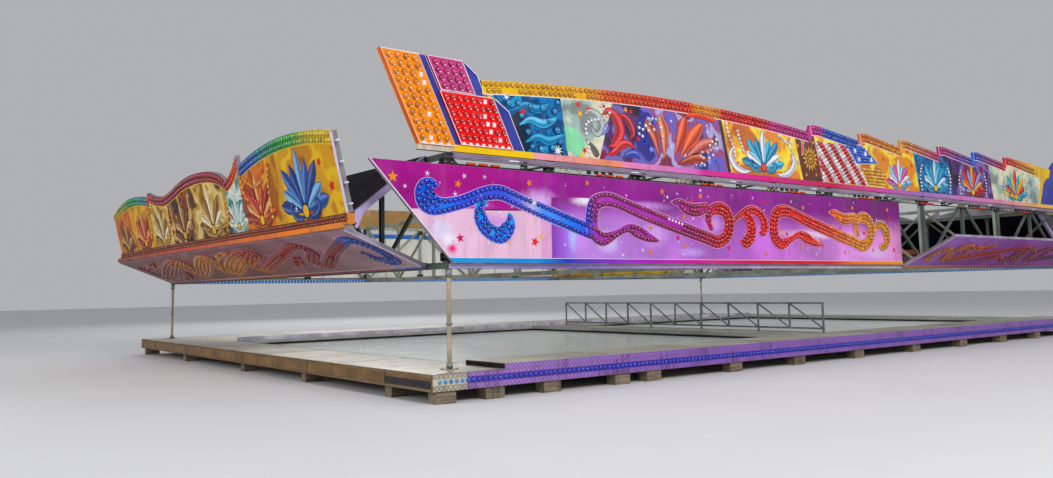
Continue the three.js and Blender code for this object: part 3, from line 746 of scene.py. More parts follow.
def caps(name, stops, low=0.0, high=22.0, collar=0.35):
    """The materials of a lamp: its cap's, and its collar's, darkened by the factor collar as painted shade
    round the cap's foot.
    """
    cap = lamp_plastic(name + "_cap", stops, low, high)
    return cap, lamp_collar(name + "_collar", stops, low, high, collar)


def plain_caps(name, hexes):
    return caps(name, [(0, hexes), (22, hexes)])


CLEAR = caps("clear_lamp", [(0, "#faf6f8"), (22, "#f2eef4")], collar=0.6)
RED_LAMP = plain_caps("red_lamp", "#d80a0a")
BLUE_LAMP = plain_caps("blue_lamp", "#1d62d8")
GOLD_LAMP = plain_caps("gold_lamp", "#f0b010")
ORANGE_LAMP = plain_caps("orange_lamp", "#ee9412")
PINK_LAMP = plain_caps("pink_lamp", "#b03468")

# Front left scroll board

HOOK = [(0.39, 1.09, 0), (0.29, 1.10, .08), (0.21, 1.07, .13), (0.16, .99, .16), (0.19, .87, .17),
        (0.30, .81, .15), (0.45, .80, .115), (0.66, .84, .10), (0.87, .90, .10), (1.07, .98, .10),
        (1.27, 1.03, .11), (1.47, 1.04, .11), (1.68, .98, .11), (1.88, .91, .11), (2.21, .81, .12),
        (2.61, .69, .12), (3.02, .57, .12), (3.33, .48, .12)]
CURL = [(1.18, .93, .09), (1.08, .83, .06), (1.09, .68, .11), (1.17, .53, .12), (1.32, .43, .12),
        (1.47, .41, .13), (1.57, .49, .13), (1.63, .58, .10), (1.63, .69, .05), (1.60, .74, .02)]
UNIT_MAIN = [(1.53, .38, .02), (1.28, .44, .08), (1.02, .53, .11), (.80, .58, .07), (.55, .49, .06),
             (.25, .39, .11), (.06, .47, .12), (0, .62, .13), (.01, .81, .13), (.08, .96, .13),
             (.23, 1.03, .12), (.43, 1.04, .12), (.70, .98, .11), (1.20, .84, .12), (2.10, .62, .12),
             (2.78, .46, .12), (3.05, .40, .12), (3.30, .50, .12), (3.40, .72, .13), (3.33, .94, .13),
             (3.10, 1.01, .12), (2.88, .94, .09), (2.82, .78, .08), (2.90, .62, .05)]
UNIT_LEAF = [(1.84, 1.07, 0), (2.06, 1.06, .08), (2.26, .98, .11), (2.45, .95, .12), (2.66, .98, .11),
             (2.83, 1.03, .07)]
UNIT_ARC = [(3.53, .80, .04), (3.75, .93, .06), (4.02, 1.02, .08), (4.25, .98, .09), (4.39, .86, .10),
            (4.43, .71, .11), (4.36, .60, .08), (4.24, .60, 0)]
UNIT_C = [(3.80, .96, .04), (3.94, .88, .10), (4.03, .73, .13), (4.02, .56, .13), (3.92, .44, .13),
          (3.80, .39, .09), (3.68, .46, 0)]
UNIT_END = [(3.52, .77, .07), (3.73, .87, .09), (3.93, .82, .11), (4.02, .67, .13), (4.02, .52, .11),
            (3.95, .42, .08), (3.80, .38, .08), (3.70, .40, 0)]
SIDE_WAVE = [
    (12.84, .72, .04), (12.86, .50, .10), (13.00, .34, .14), (13.22, .36, .14), (13.35, .60, .11),
    (13.35, .88, .11), (13.26, 1.08, .12), (13.06, 1.11, .12), (12.60, .97, .12), (11.90, .73, .12),
    (11.25, .46, .13), (10.97, .35, .13), (10.76, .42, .13), (10.80, .58, .13), (11.05, .70, .13),
    (11.34, .84, .13), (11.45, 1.02, .12), (11.28, 1.14, .12), (10.98, 1.09, .12), (10.40, .93, .12),
    (9.50, .70, .13), (8.60, .46, .13), (8.24, .36, .13), (8.00, .44, .13), (8.10, .62, .13),
    (8.50, .80, .15), (9.00, .94, .17), (9.30, 1.06, .14), (9.14, 1.15, .12), (8.70, 1.04, .20),
    (7.90, .84, .23), (7.00, .56, .23), (6.50, .38, .17), (6.28, .44, .16), (6.40, .66, .17),
    (6.76, .88, .18), (6.84, 1.04, .15), (6.58, 1.10, .14), (6.10, .94, .20), (5.30, .66, .21),
    (4.50, .40, .17), (4.22, .46, .16), (4.30, .66, .17), (4.70, .86, .18), (4.84, 1.02, .16),
    (4.54, 1.08, .16), (3.90, .94, .21), (2.80, .64, .23), (1.90, .40, .20), (1.46, .40, .16),
    (1.28, .62, .14), (1.30, .86, .12), (1.14, 1.06, .06)]
SIDE_LEAVES = [[(10.62, .74, .02), (10.36, .66, .10), (10.06, .50, .12), (9.78, .29, .03)],
               [(8.46, 1.22, .02), (7.96, 1.16, .07), (7.46, 1.08, .08), (7.04, .92, .03)],
               [(3.66, .52, .02), (3.36, .38, .10), (3.00, .26, .12), (2.50, .18, .03)],
               [(3.10, 1.16, .02), (2.50, 1.02, .11), (1.90, .90, .10), (1.60, .72, .02)]]
CAP_PITCH = 0.084
CAP_RADIUS = 0.0385


def moved(points, dx, flip=None):
    """Points shifted along x, or mirrored about x = flip first."""
    if flip is None:
        return [(x + dx, z, w) for x, z, w in points]
    return [(flip - x - dx, z, w) for x, z, w in points]


def scroll_unit(stem, last, flip=None):
    unit = [UNIT_MAIN, UNIT_LEAF, UNIT_END] if last else [UNIT_MAIN, UNIT_LEAF, UNIT_ARC, UNIT_C]
    return [moved(points, stem, flip) for points in unit]


def stretches(path, wanted):
    """The unbroken stretches of a path whose points are wanted, each with three points or more."""
    found = [[]]
    for i, point in enumerate(path):
        if wanted(i, point):
            found[-1].append(i)
        elif found[-1]:
            found.append([])
    return [stretch for stretch in found if len(stretch) > 2]


def edge_rows(path, middle_low, middle_high):
    """Places of caps in rows along both edges of a ribbon, with a middle row between two x."""
    normals = sideways(path)
    found = []
    for inset in run(CAP_RADIUS + 0.006, 0.2, CAP_RADIUS * 2.15):
        for stretch in stretches(path, lambda i, p: p.z - inset >= -0.004):
            for side in (1, -1):
                row = []
                for i in stretch:
                    p, n = path[i], normals[i]
                    room = side * max(p.z - inset, 0.0)
                    row.append(Vector((p.x + n.x * room, p.y + n.y * room, 0.1)))
                found += evenly(row, CAP_PITCH)
    for stretch in stretches(path, lambda i, p: p.z > 0.10 and middle_low < p.x < middle_high):
        found += evenly([path[i] for i in stretch], CAP_PITCH, CAP_PITCH / 2)
    return found


def scrolls(name, where, ribbons, paints, lamp_stops, low, high, middle, missing=()):
    """Lamp scrolls: lined ribbons under rows of caps. A middle row runs between the two x of middle(i)."""
    cap, collar = caps(name + "_lamps", lamp_stops, low, high)
    bands = Piece()
    domes = Piece()
    spacing = Spacing(CAP_RADIUS * 1.88)
    for i, points in enumerate(ribbons):
        path = smooth_path(points)
        lift = 0.002 + 0.0012 * i
        bands.ribbon(path, PALE_LINE, lift, grow=0.009)
        bands.ribbon(path, paints[i], lift, 0.003)
        for spot in edge_rows(path, *middle(i)):
            if not spacing.free(spot.x, spot.y):
                continue
            if any(math.hypot(spot.x - x, spot.y - z) < reach for x, z, reach in missing):
                bands.plate(disc(spot.x, spot.y, 0.024, 10), WHITE_LINE_AND_GLINT, lift + 0.004)
            else:
                domes.lamp(spot.x, spot.y, CAP_RADIUS, cap, collar, lift + 0.004)
    bands.build(name + "_scroll_ribbons", *where)
    domes.build(name + "_scroll_lamps", *where)


def star_field(name, where, stars):
    """Painted stars. Pale ones are thin and sparkling, the others are full."""
    field = Piece()
    for i, (hexes, x, z, radius) in enumerate(stars):
        pale = int(hexes[3:5], 16) > 0xa8 and int(hexes[5:7], 16) > 0xc0
        lean = 0.35 * math.sin(2.3 * i)
        field.plate(star(x, z, radius, lean, 5, 0.26 if pale else 0.42), tint(hexes), 0.0025)
    field.build(name + "_stars", *where)


def scattered(seed, count, low, high, bottom, top, sizes):
    draw = random.Random(seed)
    return [(draw.uniform(low, high), draw.uniform(bottom, top), draw.choice(sizes)) for _ in range(count)]


class Ends:
    """The two ends of a scroll board, which may slant outwards from the foot up."""

    def __init__(self, low_x, high_x, wing_low=0.0, wing_high=0.0):
        self.left = lambda h: low_x - wing_low * h / FLAP_HEIGHT
        self.right = lambda h: high_x + wing_high * h / FLAP_HEIGHT

    def band(self, low, high):
        """The outline of the board between two heights."""
        return [
            (self.left(low), low), (self.right(low), low), (self.right(high), high), (self.left(high), high)]


def board_trim(name, where, ends, paint, lines):
    """A painted foot bar with a white line over it, and white lines (end, width, foot) at the ends."""
    trim = Piece()
    trim.plate(ends.band(0, 0.066), paint, 0.002, 0.009)
    trim.plate(ends.band(0.066, 0.074), WHITE_LINE_AND_GLINT, 0.002, 0.006)
    for end, width, foot in lines:
        trim.plate([(end(foot), foot), (end(foot) + width, foot), (end(BOARD_TOP) + width, BOARD_TOP),
                    (end(BOARD_TOP), BOARD_TOP)], WHITE_LINE_AND_GLINT, 0.002, 0.005)
    trim.build(name + "_trim", *where)


def front_left_board():
    name = "front_left_flap"
    where = (FRONT_LEFT_FLAP, name, "scroll_board")
    ends = Ends(POST_LEFT, 12.600, wing_low=WING)
    edge = ends.left
    magenta = [(-0.8, "#9c1c84"), (1.0, "#b0208e"), (2.6, "#931a8c"), (3.6, "#8c1888"), (6.0, "#8f1a8e"),
               (9.0, "#86188a"), (12.6, "#741070")]
    upper = board_paint("scroll_board_magenta", magenta, low=-0.8, high=12.6, cloud=0.5,
                        glows=[(2.2, 0.95, 0.5, 0.25, "#dcb4f0"), (0.9, 0.84, 0.6, 0.10, "#d060c0")])
    lower = board_paint(
        "scroll_board_lilac", [(-0.8, "#d9a6cc"), (2.42, "#d9a6cc"), (2.44, "#8e44b8"), (2.72, "#a070dc"),
            (2.95, "#c08ce0"), (4.6, "#c286dc"), (6.5, "#bc70d2"), (8.5, "#cc7cd8"), (10.5, "#de98e2"),
            (12.6, "#e498cc")], low=-0.8, high=12.6, cloud=0.6, scale=1.1, light=1.35, dark=0.7, dust=0.05,
        upper=magenta, fade=(0.55, 1.10), glows=[(9.6, 0.60, 2.0, 0.12, "#fbdcf4"),
            (3.6, 0.35, 0.35, 0.25, "#dcd0fa"), (2.86, 0.45, 0.12, 0.42, "#b8c4fa"),
            (3.15, 1.00, 0.42, 0.12, "#fbf6ff"), (4.7, 0.50, 0.5, 0.3, "#d8a8f0"),
            (4.6, 0.98, 0.7, 0.10, "#c890e4"), (6.2, 0.72, 0.4, 0.25, "#d8a0ea"),
            (11.6, 0.25, 0.8, 0.2, "#e8c0f4"), (5.6, 0.2, 0.5, 0.12, "#c8a0f0")])
    ground = Piece()
    ground.plate(ends.band(0, BOARD_TOP), lower, 0.0, 0.0015)
    ground.plate([(edge(0.74), 0.74), (1.0, 0.79), (1.001, 0.76), (2.43, 0.80), (2.44, 1.02), (3.30, 1.05),
                  (3.30, BOARD_TOP), (edge(BOARD_TOP), BOARD_TOP)], upper, 0.0015, 0.001)
    rosy = board_paint(
        "scroll_board_rose", [(-0.2, "#f4cce6"), (2.3, "#f0c6e0")], -0.2, 2.3, cloud=0.5, light=1.1,
        dark=0.8, glows=[(0.42, 0.46, 0.30, 0.22, "#e9e0fb"), (0.55, 0.32, 0.18, 0.16, "#fbf4ff"),
            (0.60, 0.20, 0.12, 0.10, "#f0488c"), (1.4, 0.60, 0.5, 0.2, "#d8a4e0")])
    ground.plate(
        [(edge(0.07), 0.07), (2.22, 0.07), (2.22, 0.79), (1.0, 0.78), (edge(0.74), 0.74)], rosy, 0.0015,
        0.001)
    ground.bar((2.22, 0.07), (2.43, 0.79), tint("#dfa9d2"), 0.0015, 0.001)
    ground.build(name + "_painted_ground", *where)
    foot = board_paint(
        "scroll_board_foot_trim", [(0.4, "#2aa0dc"), (2.2, "#2f8fe0"), (2.7, "#2440b8"), (3.2, "#6a44c0"),
            (4.3, "#a63ac0"), (6.0, "#d01f90"), (7.5, "#d81c4c"), (9.8, "#e02a1c"), (10.6, "#ee7a10"),
            (12.6, "#f2a41c")], low=0.4, high=12.6, cloud=0.2)
    board_trim(name, where, ends, foot, [(edge, 0.018, 0.0)])

    stars = [("#f59a14", -.35, 1.17, .085), ("#ea8a1c", .71, 1.13, .068), ("#e0862c", 2.01, 1.22, .060),
             ("#dd8030", 3.19, 1.29, .056), ("#f2e6fa", .20, 1.25, .052), ("#f2e6fa", .82, 1.25, .050),
             ("#f2e6fa", -.16, 1.05, .042), ("#f2e6fa", .66, .98, .048), ("#d31760", .74, .35, .075),
             ("#e8141c", 2.10, .32, .084), ("#f6b810", 1.59, .31, .060), ("#f6b810", 2.22, .41, .056)]
    orange = (
        (4.92, 1.24), (5.9, 1.21), (5.45, .82), (4.6, .6), (4.58, .19), (5.45, .31), (7.72, .19),
        (8.97, 1.13), (10.72, 1.2), (12.09, 1.21), (9.95, .79), (8.87, .34), (10.36, .24), (11.43, .31))
    red = (
        (5.68, 1.11), (7.7, 1.19), (12.16, 1.04), (5.28, .45), (6.64, .29), (8.4, .59), (9.56, .39),
        (10.23, .74), (11.12, .67), (12.28, .32))
    gold = ((8.25, .62), (9.43, .49))
    for hexes, radius, places in (
            ("#de8838", 0.062, orange), ("#dd1548", 0.062, red), ("#f6b810", 0.058, gold)):
        stars += [(hexes, x, z, radius) for x, z in places]
    for i, (x, z, radius) in enumerate(
            scattered(11, 110, 0.1, 12.45, 0.12, 1.34, (0.016, 0.024, 0.034, 0.046))):
        if x > edge(z) + 0.1:
            stars.append((("#f2e6fa", "#e4c4f0", "#dcb0ec")[i % 3], x, z, radius))
    star_field(name, where, stars)

    ribbon_paint = board_paint(
        "scroll_ribbon_front", [(0.0, "#2b6fe8"), (0.5, "#2f7cf0"), (0.8, "#4a5ce0"), (1.5, "#4c62e4"),
            (1.8, "#6c7cec"), (2.05, "#c8c0f4"), (2.25, "#5c9cf4"), (2.9, "#2f7cf0"), (3.2, "#4048d4"),
            (3.4, "#ae48b4"), (5.0, "#a83aa8"), (6.0, "#ae2c8c"), (6.3, "#d0185c"), (6.6, "#dc1418"),
            (8.5, "#f01c10"), (9.5, "#f0541a"), (10.3, "#fa9414"), (11.5, "#f2a81c"), (12.6, "#d89020")],
        low=0.0, high=12.6, cloud=0.3)
    curl_paint = flat_paint("scroll_ribbon_curl", "#3c9cf2", cloud=0.4)
    lamps = [
        (0.0, "#1038c8"), (3.15, "#0e2ebc"), (3.3, "#940c60"), (5.6, "#9c0a54"), (6.4, "#cc0810"),
        (9.4, "#e4140a"), (9.9, "#ee5c0c"), (10.8, "#f89a0c"), (12.0, "#d8940f")]
    ribbons = [HOOK, CURL, *scroll_unit(3.27, False), *scroll_unit(7.98, True)]
    paints = [ribbon_paint, curl_paint] + [ribbon_paint] * (len(ribbons) - 2)

    scrolls(
        name, where, ribbons, paints, lamps, 0.0, 12.6, lambda i: ((99, 0, 5.4, 5.0, 0, 0, 0, 0, 0)[i], 99),
        missing=[(5.15, .74, .12), (5.32, .70, .12), (1.98, .86, .06), (2.12, .93, .06)])


def mirrored_stops(stops):
    """The left board's colour stops, for the right board, whose x runs the other way."""
    return [(DECK_DEPTH - x, hexes) for x, hexes in reversed(stops)]


def scroll_row(stems, flip=None):
    """The scroll units of a whole board, in a row."""
    ribbons = []
    for i, stem in enumerate(stems):
        ribbons += scroll_unit(stem, i == len(stems) - 1, flip)
    return ribbons


def plain_scroll_board(
        name, place, body, low_x, high_x, ribbons, ground_stops, ribbon_stops, lamp_stops, seed,
        middle=lambda i: (0 if i % 2 else 99, 99), wing_high=0.0):
    """A scroll board of the same family, on a side that the front doesn't show."""
    where = (place, body, "scroll_board")
    ends = Ends(low_x, high_x, wing_high=wing_high)
    ground = Piece()
    ground.plate(
        ends.band(0, BOARD_TOP), board_paint(name + "_ground", ground_stops, low_x, high_x, cloud=0.6,
            dust=0.05), 0.0, 0.0015)
    ground.build(name + "_painted_ground", *where)
    foot = board_paint(name + "_trim_paint", lamp_stops, low_x, high_x, cloud=0.2, light=1.8)
    board_trim(name, where, ends, foot, [(ends.left, 0.018, 0.08), (ends.right, -0.018, 0.08)])
    tones = ("#f08a18", "#dd1548", "#f6b810", "#f6f0ff", "#f6f0ff")
    places = scattered(seed, 80, low_x + 0.1, high_x - 0.1, 0.14, 1.32, (0.025, 0.035, 0.05))
    star_field(name, where, [(tones[i % 5], *spot) for i, spot in enumerate(places)])
    paint = board_paint(name + "_ribbon", ribbon_stops, low_x, high_x, cloud=0.3)
    scrolls(name, where, ribbons, [paint] * len(ribbons), lamp_stops, low_x, high_x, middle)


front_left_board()
plain_scroll_board(
    "front_right_flap", FRONT_RIGHT_FLAP, "front_right_flap", 12.660, POST_RIGHT,
    scroll_row([0.35, 4.6], 21.6), [(12.66, "#b07ad2"), (17.0, "#9a3fae"), (21.4, "#a8228c")],
    [(12.66, "#f0a41c"), (15.0, "#e8341c"), (18.0, "#b4157c"), (21.4, "#3c9cf2")],
    [(12.66, "#e08a08"), (15.5, "#c01410"), (18.5, "#7a0c3c"), (19.5, "#0a2596"), (21.4, "#0a2f9e")], 8,
    wing_high=WING)
# Where the middle row of the left board's scroll ends
MIDDLE_END = 10.0
SIDE_RIBBON_STOPS = [
    (0.7, "#a03018"), (3.3, "#b8341a"), (4.2, "#e06a18"), (5.5, "#eea020"), (8.0, "#f0a01c"),
    (8.5, "#ea5c18"), (10.6, "#c43020"), (12.8, "#963848"), (13.0, "#3c7ce0"), (13.56, "#3c9cf2")]
SIDE_LAMP_STOPS = [
    (0.7, "#8a1c0c"), (3.3, "#9a1c0c"), (4.0, "#d0600c"), (5.5, "#e0940c"), (8.0, "#dc860a"),
    (8.6, "#c84c0e"), (9.8, "#b4200c"), (11.2, "#981a12"), (12.7, "#74141e"), (12.85, "#0c3c9c"),
    (13.56, "#0a2f9e")]
plain_scroll_board(
    "left_flap", LEFT_HINGE @ SIDE_FLAP, "left_flap", LEFT_START, LEFT_END, [SIDE_WAVE, *SIDE_LEAVES],
    [(0.7, "#7c3c2c"), (5.0, "#8c5048"), (10.0, "#9a6c74"), (13.5, "#b08c98")], SIDE_RIBBON_STOPS,
    SIDE_LAMP_STOPS, 21, lambda i: (0, MIDDLE_END))
plain_scroll_board("right_flap", RIGHT_HINGE @ SIDE_FLAP, DECK_BODY, RIGHT_START, RIGHT_END,
                   [moved(points, 0, DECK_DEPTH) for points in (SIDE_WAVE, *SIDE_LEAVES)],
                   [(1.0, "#a89cb0"), (6.0, "#b4a0b8"), (13.9, "#b59fc6")],
                   mirrored_stops(SIDE_RIBBON_STOPS), mirrored_stops(SIDE_LAMP_STOPS), 31,
                   lambda i: (DECK_DEPTH - MIDDLE_END, 99))
plain_scroll_board(
    "rear_flap", REAR_FLAP, DECK_BODY, POST_LEFT, POST_RIGHT, scroll_row([1.0, 5.71, 10.42, 15.13]),
    [(0.6, "#b07ad2"), (8.0, "#a050c0"), (14.0, "#c07ad6"), (21.4, "#a8228c")],
    [(0.6, "#3c9cf2"), (4.0, "#c41f78"), (10.0, "#e8241c"), (16.0, "#fa9414"), (21.4, "#f0c41c")],
    [(0.6, "#0a2f9e"), (4.0, "#86083c"), (10.0, "#c81410"), (16.0, "#e04808"), (21.4, "#c88410")], 41)

# Front crown

SLANT = 0.48
PIECE_LOW = 3.2053
END_LOW = 3.1683
CROWN_TOP = 4.456
LAMP_ROW = 0.111
TOP_ROW = 4.377
RED_TOP = 3.966
PINK_LOW = 3.972
SKIN = 0.0015
PICTURE_BOARD = (FRONT_CROWN, DECK_BODY, "picture_board")


def lean(z):
    return (z - PIECE_LOW) * SLANT


def slanted(x0, x1, low, high, inset):
    """The outline between two leaning sides and two heights, drawn in a little at its foot and top."""
    return [(x0 - lean(low), low + inset), (x1 - lean(low), low + inset), (x1 - lean(high), high - inset),
            (x0 - lean(high), high - inset)]


def framed(piece, outline, material, lift, width, thick=0.004):
    """A narrow raised line round an outline."""
    count = len(outline)
    centre = [sum(place) / count for place in zip(*outline)]
    inner = []
    for x, z in outline:
        dx, dz = centre[0] - x, centre[1] - z
        length = math.hypot(dx, dz)
        inner.append((x + dx / length * width * 1.4, z + dz / length * width * 1.4))
    for i in range(count):
        j = (i + 1) % count
        piece.plate([outline[i], outline[j], inner[j], inner[i]], material, lift, thick)


def lamp_panel(
        name, left, width, bottom, top, pitch, margin, columns, rows, first_row, cap_pair, hexes, missing,
        foot_row, radius=0.046):
    """A slanted panel of lamps with empty sockets where lamps are missing, and a small white plate by each
    cap as its painted highlight.
    """
    skin = Piece()
    domes = Piece()
    lift = PANEL_PROUD + SKIN
    outline = slanted(left, left + width, bottom, top, 0.002)
    skin.plate(
        outline, flat_paint(name.replace("lamp_", "") + "_paint", hexes, cloud=0.2), PANEL_PROUD, SKIN)
    framed(skin, outline, WHITE_LINE_AND_GLINT, lift, 0.011)

    def mark(piece, x, z, corners, lift, thick):
        piece.plate([(x + dx, z + dz) for dx, dz in corners], WHITE_LINE_AND_GLINT, lift, thick)

    for row in range(rows):
        z = first_row - LAMP_ROW * row
        # Glint: a small white plate at each cap's lower right, a painted highlight drawn in the white lining
        # paint.
        glint_low, glint_high = -radius * 0.92, -radius * 0.50
        glint = ((.006, glint_low), (.034, glint_low), (.026, glint_high), (-.002, glint_high))
        for column in range(columns):
            x = left + margin + pitch * column - lean(z)
            if (column, row) in missing:
                mark(skin, x, z, ((-.03, -.034), (.028, -.034), (.03, .03), (-.028, .034)), lift, 0.001)
            else:
                domes.lamp(x, z, radius, *cap_pair, lift)
                mark(domes, x, z, glint, lift + radius * 0.34, radius * 0.22)
    if foot_row:
        for column in range(columns):
            x = left + margin + pitch * column - lean(bottom + 0.03)
            mark(skin, x, bottom, ((-.03, .006), (.03, .006), (.02, .045), (-.035, .045)), lift, 0.001)
    where = (FRONT_CROWN, DECK_BODY, name.replace("_lamp", ""))
    skin.build(name + "_skin", *where)
    domes.build(name + "_caps", *where)


def crown_end():
    lamp_panel(
        "orange_lamp_panel", 0.055, 0.600, END_LOW, CROWN_TOP, 0.134, 0.099, 4, 11, TOP_ROW, ORANGE_LAMP,
        "#ff9a14", {(3, 2), (3, 3), (2, 7), (1, 10)}, True)
    lamp_panel(
        "pink_lamp_panel", 0.798, 0.602, PINK_LOW, CROWN_TOP, 0.134, 0.099, 4, 4, TOP_ROW, PINK_LAMP,
        "#d0508c", set(), False)
    lamp_panel(
        "red_lamp_panel", 0.772, 0.940, PIECE_LOW, RED_TOP, 0.115, 0.067, 8, 6, 3.89, RED_LAMP, "#f20808",
        {(6, 0), (5, 2), (5, 3), (6, 3), (5, 4), (6, 5)}, True, 0.042)
    lines = Piece()
    for x, low, high in ((0.663, PIECE_LOW, CROWN_TOP), (0.790, PINK_LOW, CROWN_TOP),
                         (1.404, PINK_LOW, CROWN_TOP), (1.716, PIECE_LOW, RED_TOP)):
        lines.plate(slanted(x, x + 0.014, low, high, 0.004), WHITE_LINE_AND_GLINT, 0.0, 0.004)
    for outline in (
            [(1.771, RED_TOP), (1.95, 3.80), (1.95, PIECE_LOW), (1.716, PIECE_LOW), (1.716, RED_TOP)],
            [(1.459, 4.452), (1.61, 4.29), (1.61, 3.976), (1.404, 3.976), (1.404, 4.452)]):
        leaning = [(x - lean(z), z) for x, z in outline]
        for (ax, az), (bx, bz) in zip(leaning, leaning[1:]):
            lines.plate([(ax, az), (bx, bz), (bx - 0.008, bz - 0.008), (ax - 0.008, az - 0.008)], WHITE_LINE_AND_GLINT,
                        0.001, 0.003)
    lines.build("crown_end_lining", FRONT_CROWN, DECK_BODY, "end_board")


crown_end()

# Upper edge of the picture boards, and the lamp band under it

BAND_DEPTH = 0.205
ARC_END = 9.305
TEETH = [9.386, 11.200, 12.860, 14.600, 16.340, 18.080, 19.85]
TOOTH_PEAK = 4.378


def arc_top(x):
    """Height of the long arc at x, on the left picture board."""
    start, control, end = (1.158, 4.220), (5.200, 4.612), (ARC_END, 4.220)
    t = (x - start[0]) / (end[0] - start[0])
    for _ in range(4):
        here = (1 - t) ** 2 * start[0] + 2 * t * (1 - t) * control[0] + t * t * end[0]
        slope = 2 * (1 - t) * (control[0] - start[0]) + 2 * t * (end[0] - control[0])
        t += (x - here) / slope
    return (1 - t) ** 2 * start[1] + 2 * t * (1 - t) * control[1] + t * t * end[1]


def tooth_top(x):
    """Height of the saw teeth at x, on the right picture board."""
    for i in reversed(range(len(TEETH) - 1)):
        if x >= TEETH[i] + 0.03:
            peak = TEETH[i] + 0.26
            following = TEETH[i + 1] + (0.03 if i + 2 < len(TEETH) else 0)
            if x < peak:
                return 4.366 + (x - TEETH[i]) / 0.26 * 0.012
            return TOOTH_PEAK + (x - peak) / (following - peak) * (4.190 - TOOTH_PEAK)
    return 4.220


BAND_STOPS = [
    (1.1, "#f0c400"), (3.4, "#eeb000"), (3.6, "#f07a10"), (4.1, "#e8501a"), (5.7, "#f04018"),
    (5.9, "#f0a418"), (6.5, "#f09a10"), (6.6, "#f01010"), (7.9, "#f00a18"), (8.1, "#d83c90"),
    (9.7, "#cc3c98"), (9.9, "#2c6ad8"), (11.1, "#2668d8"), (11.2, "#f08a10"), (12.9, "#f0a818"),
    (14.6, "#d8408a"), (16.4, "#2c6ad8"), (18.1, "#f01010"), (19.9, "#f0c400")]
BAND_CAPS = [
    (1.1, "#e0ae04"), (3.4, "#e09c02"), (3.6, "#d05c10"), (5.7, "#c8341c"), (5.9, "#dc8c18"),
    (6.5, "#dc8410"), (6.6, "#b80c10"), (7.9, "#b00818"), (8.1, "#a82c70"), (9.7, "#a02c78"),
    (9.9, "#1c48a8"), (11.1, "#1a46a8"), (11.2, "#c86c0c"), (12.9, "#d08a14"), (14.6, "#a82c70"),
    (16.4, "#1c48a8"), (18.1, "#b80c10"), (19.9, "#b88a00")]


LOST_BAND_LAMPS = ((1.45, 1.78), (3.02, 3.16))


def top_band():
    paint = board_paint("crown_band_paint", BAND_STOPS, 1.1, 19.9, cloud=0.15)
    pair = caps("crown_band", BAND_CAPS, 1.1, 19.9, 0.5)
    band = Piece()
    domes = Piece()

    def stretch(low, high, steps, top, gap):
        """The painted band between two x, and the white line under it."""
        xs = [low + k * (high - low) / steps for k in range(steps + 1)]
        foot = [(x, top(x) - BAND_DEPTH) for x in xs]
        band.strip([(x, top(x) - gap) for x in xs], foot, paint, 0.0, 0.003)
        band.strip(foot, [(x, z - 0.012) for x, z in foot], WHITE_LINE_AND_GLINT, 0.0, 0.004)

    def lamps(low, high, top, lost=()):
        """Two staggered rows of lamps between two x."""
        for x in run(low, high, 0.1):
            domes.lamp(x, top(x) - 0.055, 0.042, *pair, 0.003)
            if not any(start < x < end for start, end in lost):
                domes.lamp(x + 0.05, top(min(x + 0.05, high + 0.05)) - 0.150, 0.042, *pair, 0.003)

    stretch(1.175, 9.300, 150, arc_top, 0.002)
    lamps(1.24, 9.26, arc_top, LOST_BAND_LAMPS)
    for start, following in zip(TEETH, TEETH[1:]):
        stretch(start + 0.035, following, 40, tooth_top, 0.003)
        band.plate(
            [(start + 0.03, 4.175), (start + 0.042, 4.175), (start + 0.020, 4.36), (start + 0.004, 4.36)],
            WHITE_LINE_AND_GLINT, 0.003, 0.002)
        lamps(start + 0.09, following - 0.05, tooth_top)
    band.build("front_crown_band", *PICTURE_BOARD)
    domes.build("front_crown_band_lamps", *PICTURE_BOARD)


top_band()


# Picture fields of the front crown: painted grounds with scrolls, stars and lamp rows

FIELD_LOW = PIECE_LOW + 0.004
FIELD_THICK = 0.0012


def inner_top(x):
    return (arc_top(x) if x < ARC_END else tooth_top(x)) - BAND_DEPTH - 0.010


def field(piece, low_left, top_left, low_right, top_right, material, lift=0.0005):
    """A painted ground between two slanting borders, up to the lamp band."""
    steps = 14
    top = [top_right + (top_left - top_right) * k / steps for k in range(steps + 1)]
    outline = [(low_left, FIELD_LOW), (low_right, FIELD_LOW), *((x, inner_top(x)) for x in top)]
    piece.plate(outline, material, lift, FIELD_THICK)


def lamp_row(piece, points, pair, pitch, radius, lift=0.004):
    for spot in evenly(smooth_path([(x, z, 0.1) for x, z in points]), pitch):
        piece.lamp(spot.x, spot.y, radius, *pair, lift)


def stars_at(piece, places, radius, turn_by_x, lift=0.006, thick=0.0015):
    """Painted stars at places (x, z, colour), each turned by its x."""
    for x, z, hexes in places:
        piece.plate(star(x, z, radius, x * turn_by_x), tint(hexes), lift, thick)


def lamp_fill(piece, outline, pair, radius, lift, holes=()):
    """Close-packed lamps inside a convex outline, except near the holes (x, z, reach)."""
    sign = 1 if area_of(outline) > 0 else -1
    pitch = radius * 2.06
    xs, zs = zip(*outline)
    for row, z in enumerate(run(min(zs) + radius, max(zs), pitch * 0.88)):
        for x in run(min(xs) + radius + (pitch / 2 if row % 2 else 0), max(xs), pitch):
            room = min(sign * ((b[0] - a[0]) * (z - a[1]) - (b[1] - a[1]) * (x - a[0])) / math.dist(a, b)
                       for a, b in zip(outline, outline[1:] + outline[:1]))
            if room > radius * 0.9 and not any(
                    math.hypot(x - hx, z - hz) < reach for hx, hz, reach in holes):
                piece.lamp(x, z, radius, *pair, lift)


def blended(first, second, part):
    """The #rrggbb colour that lies part of the way from the first to the second."""
    pairs = [(int(first[i:i + 2], 16), int(second[i:i + 2], 16)) for i in (1, 3, 5)]
    return "#" + "".join("%02x" % round(a + (b - a) * part) for a, b in pairs)


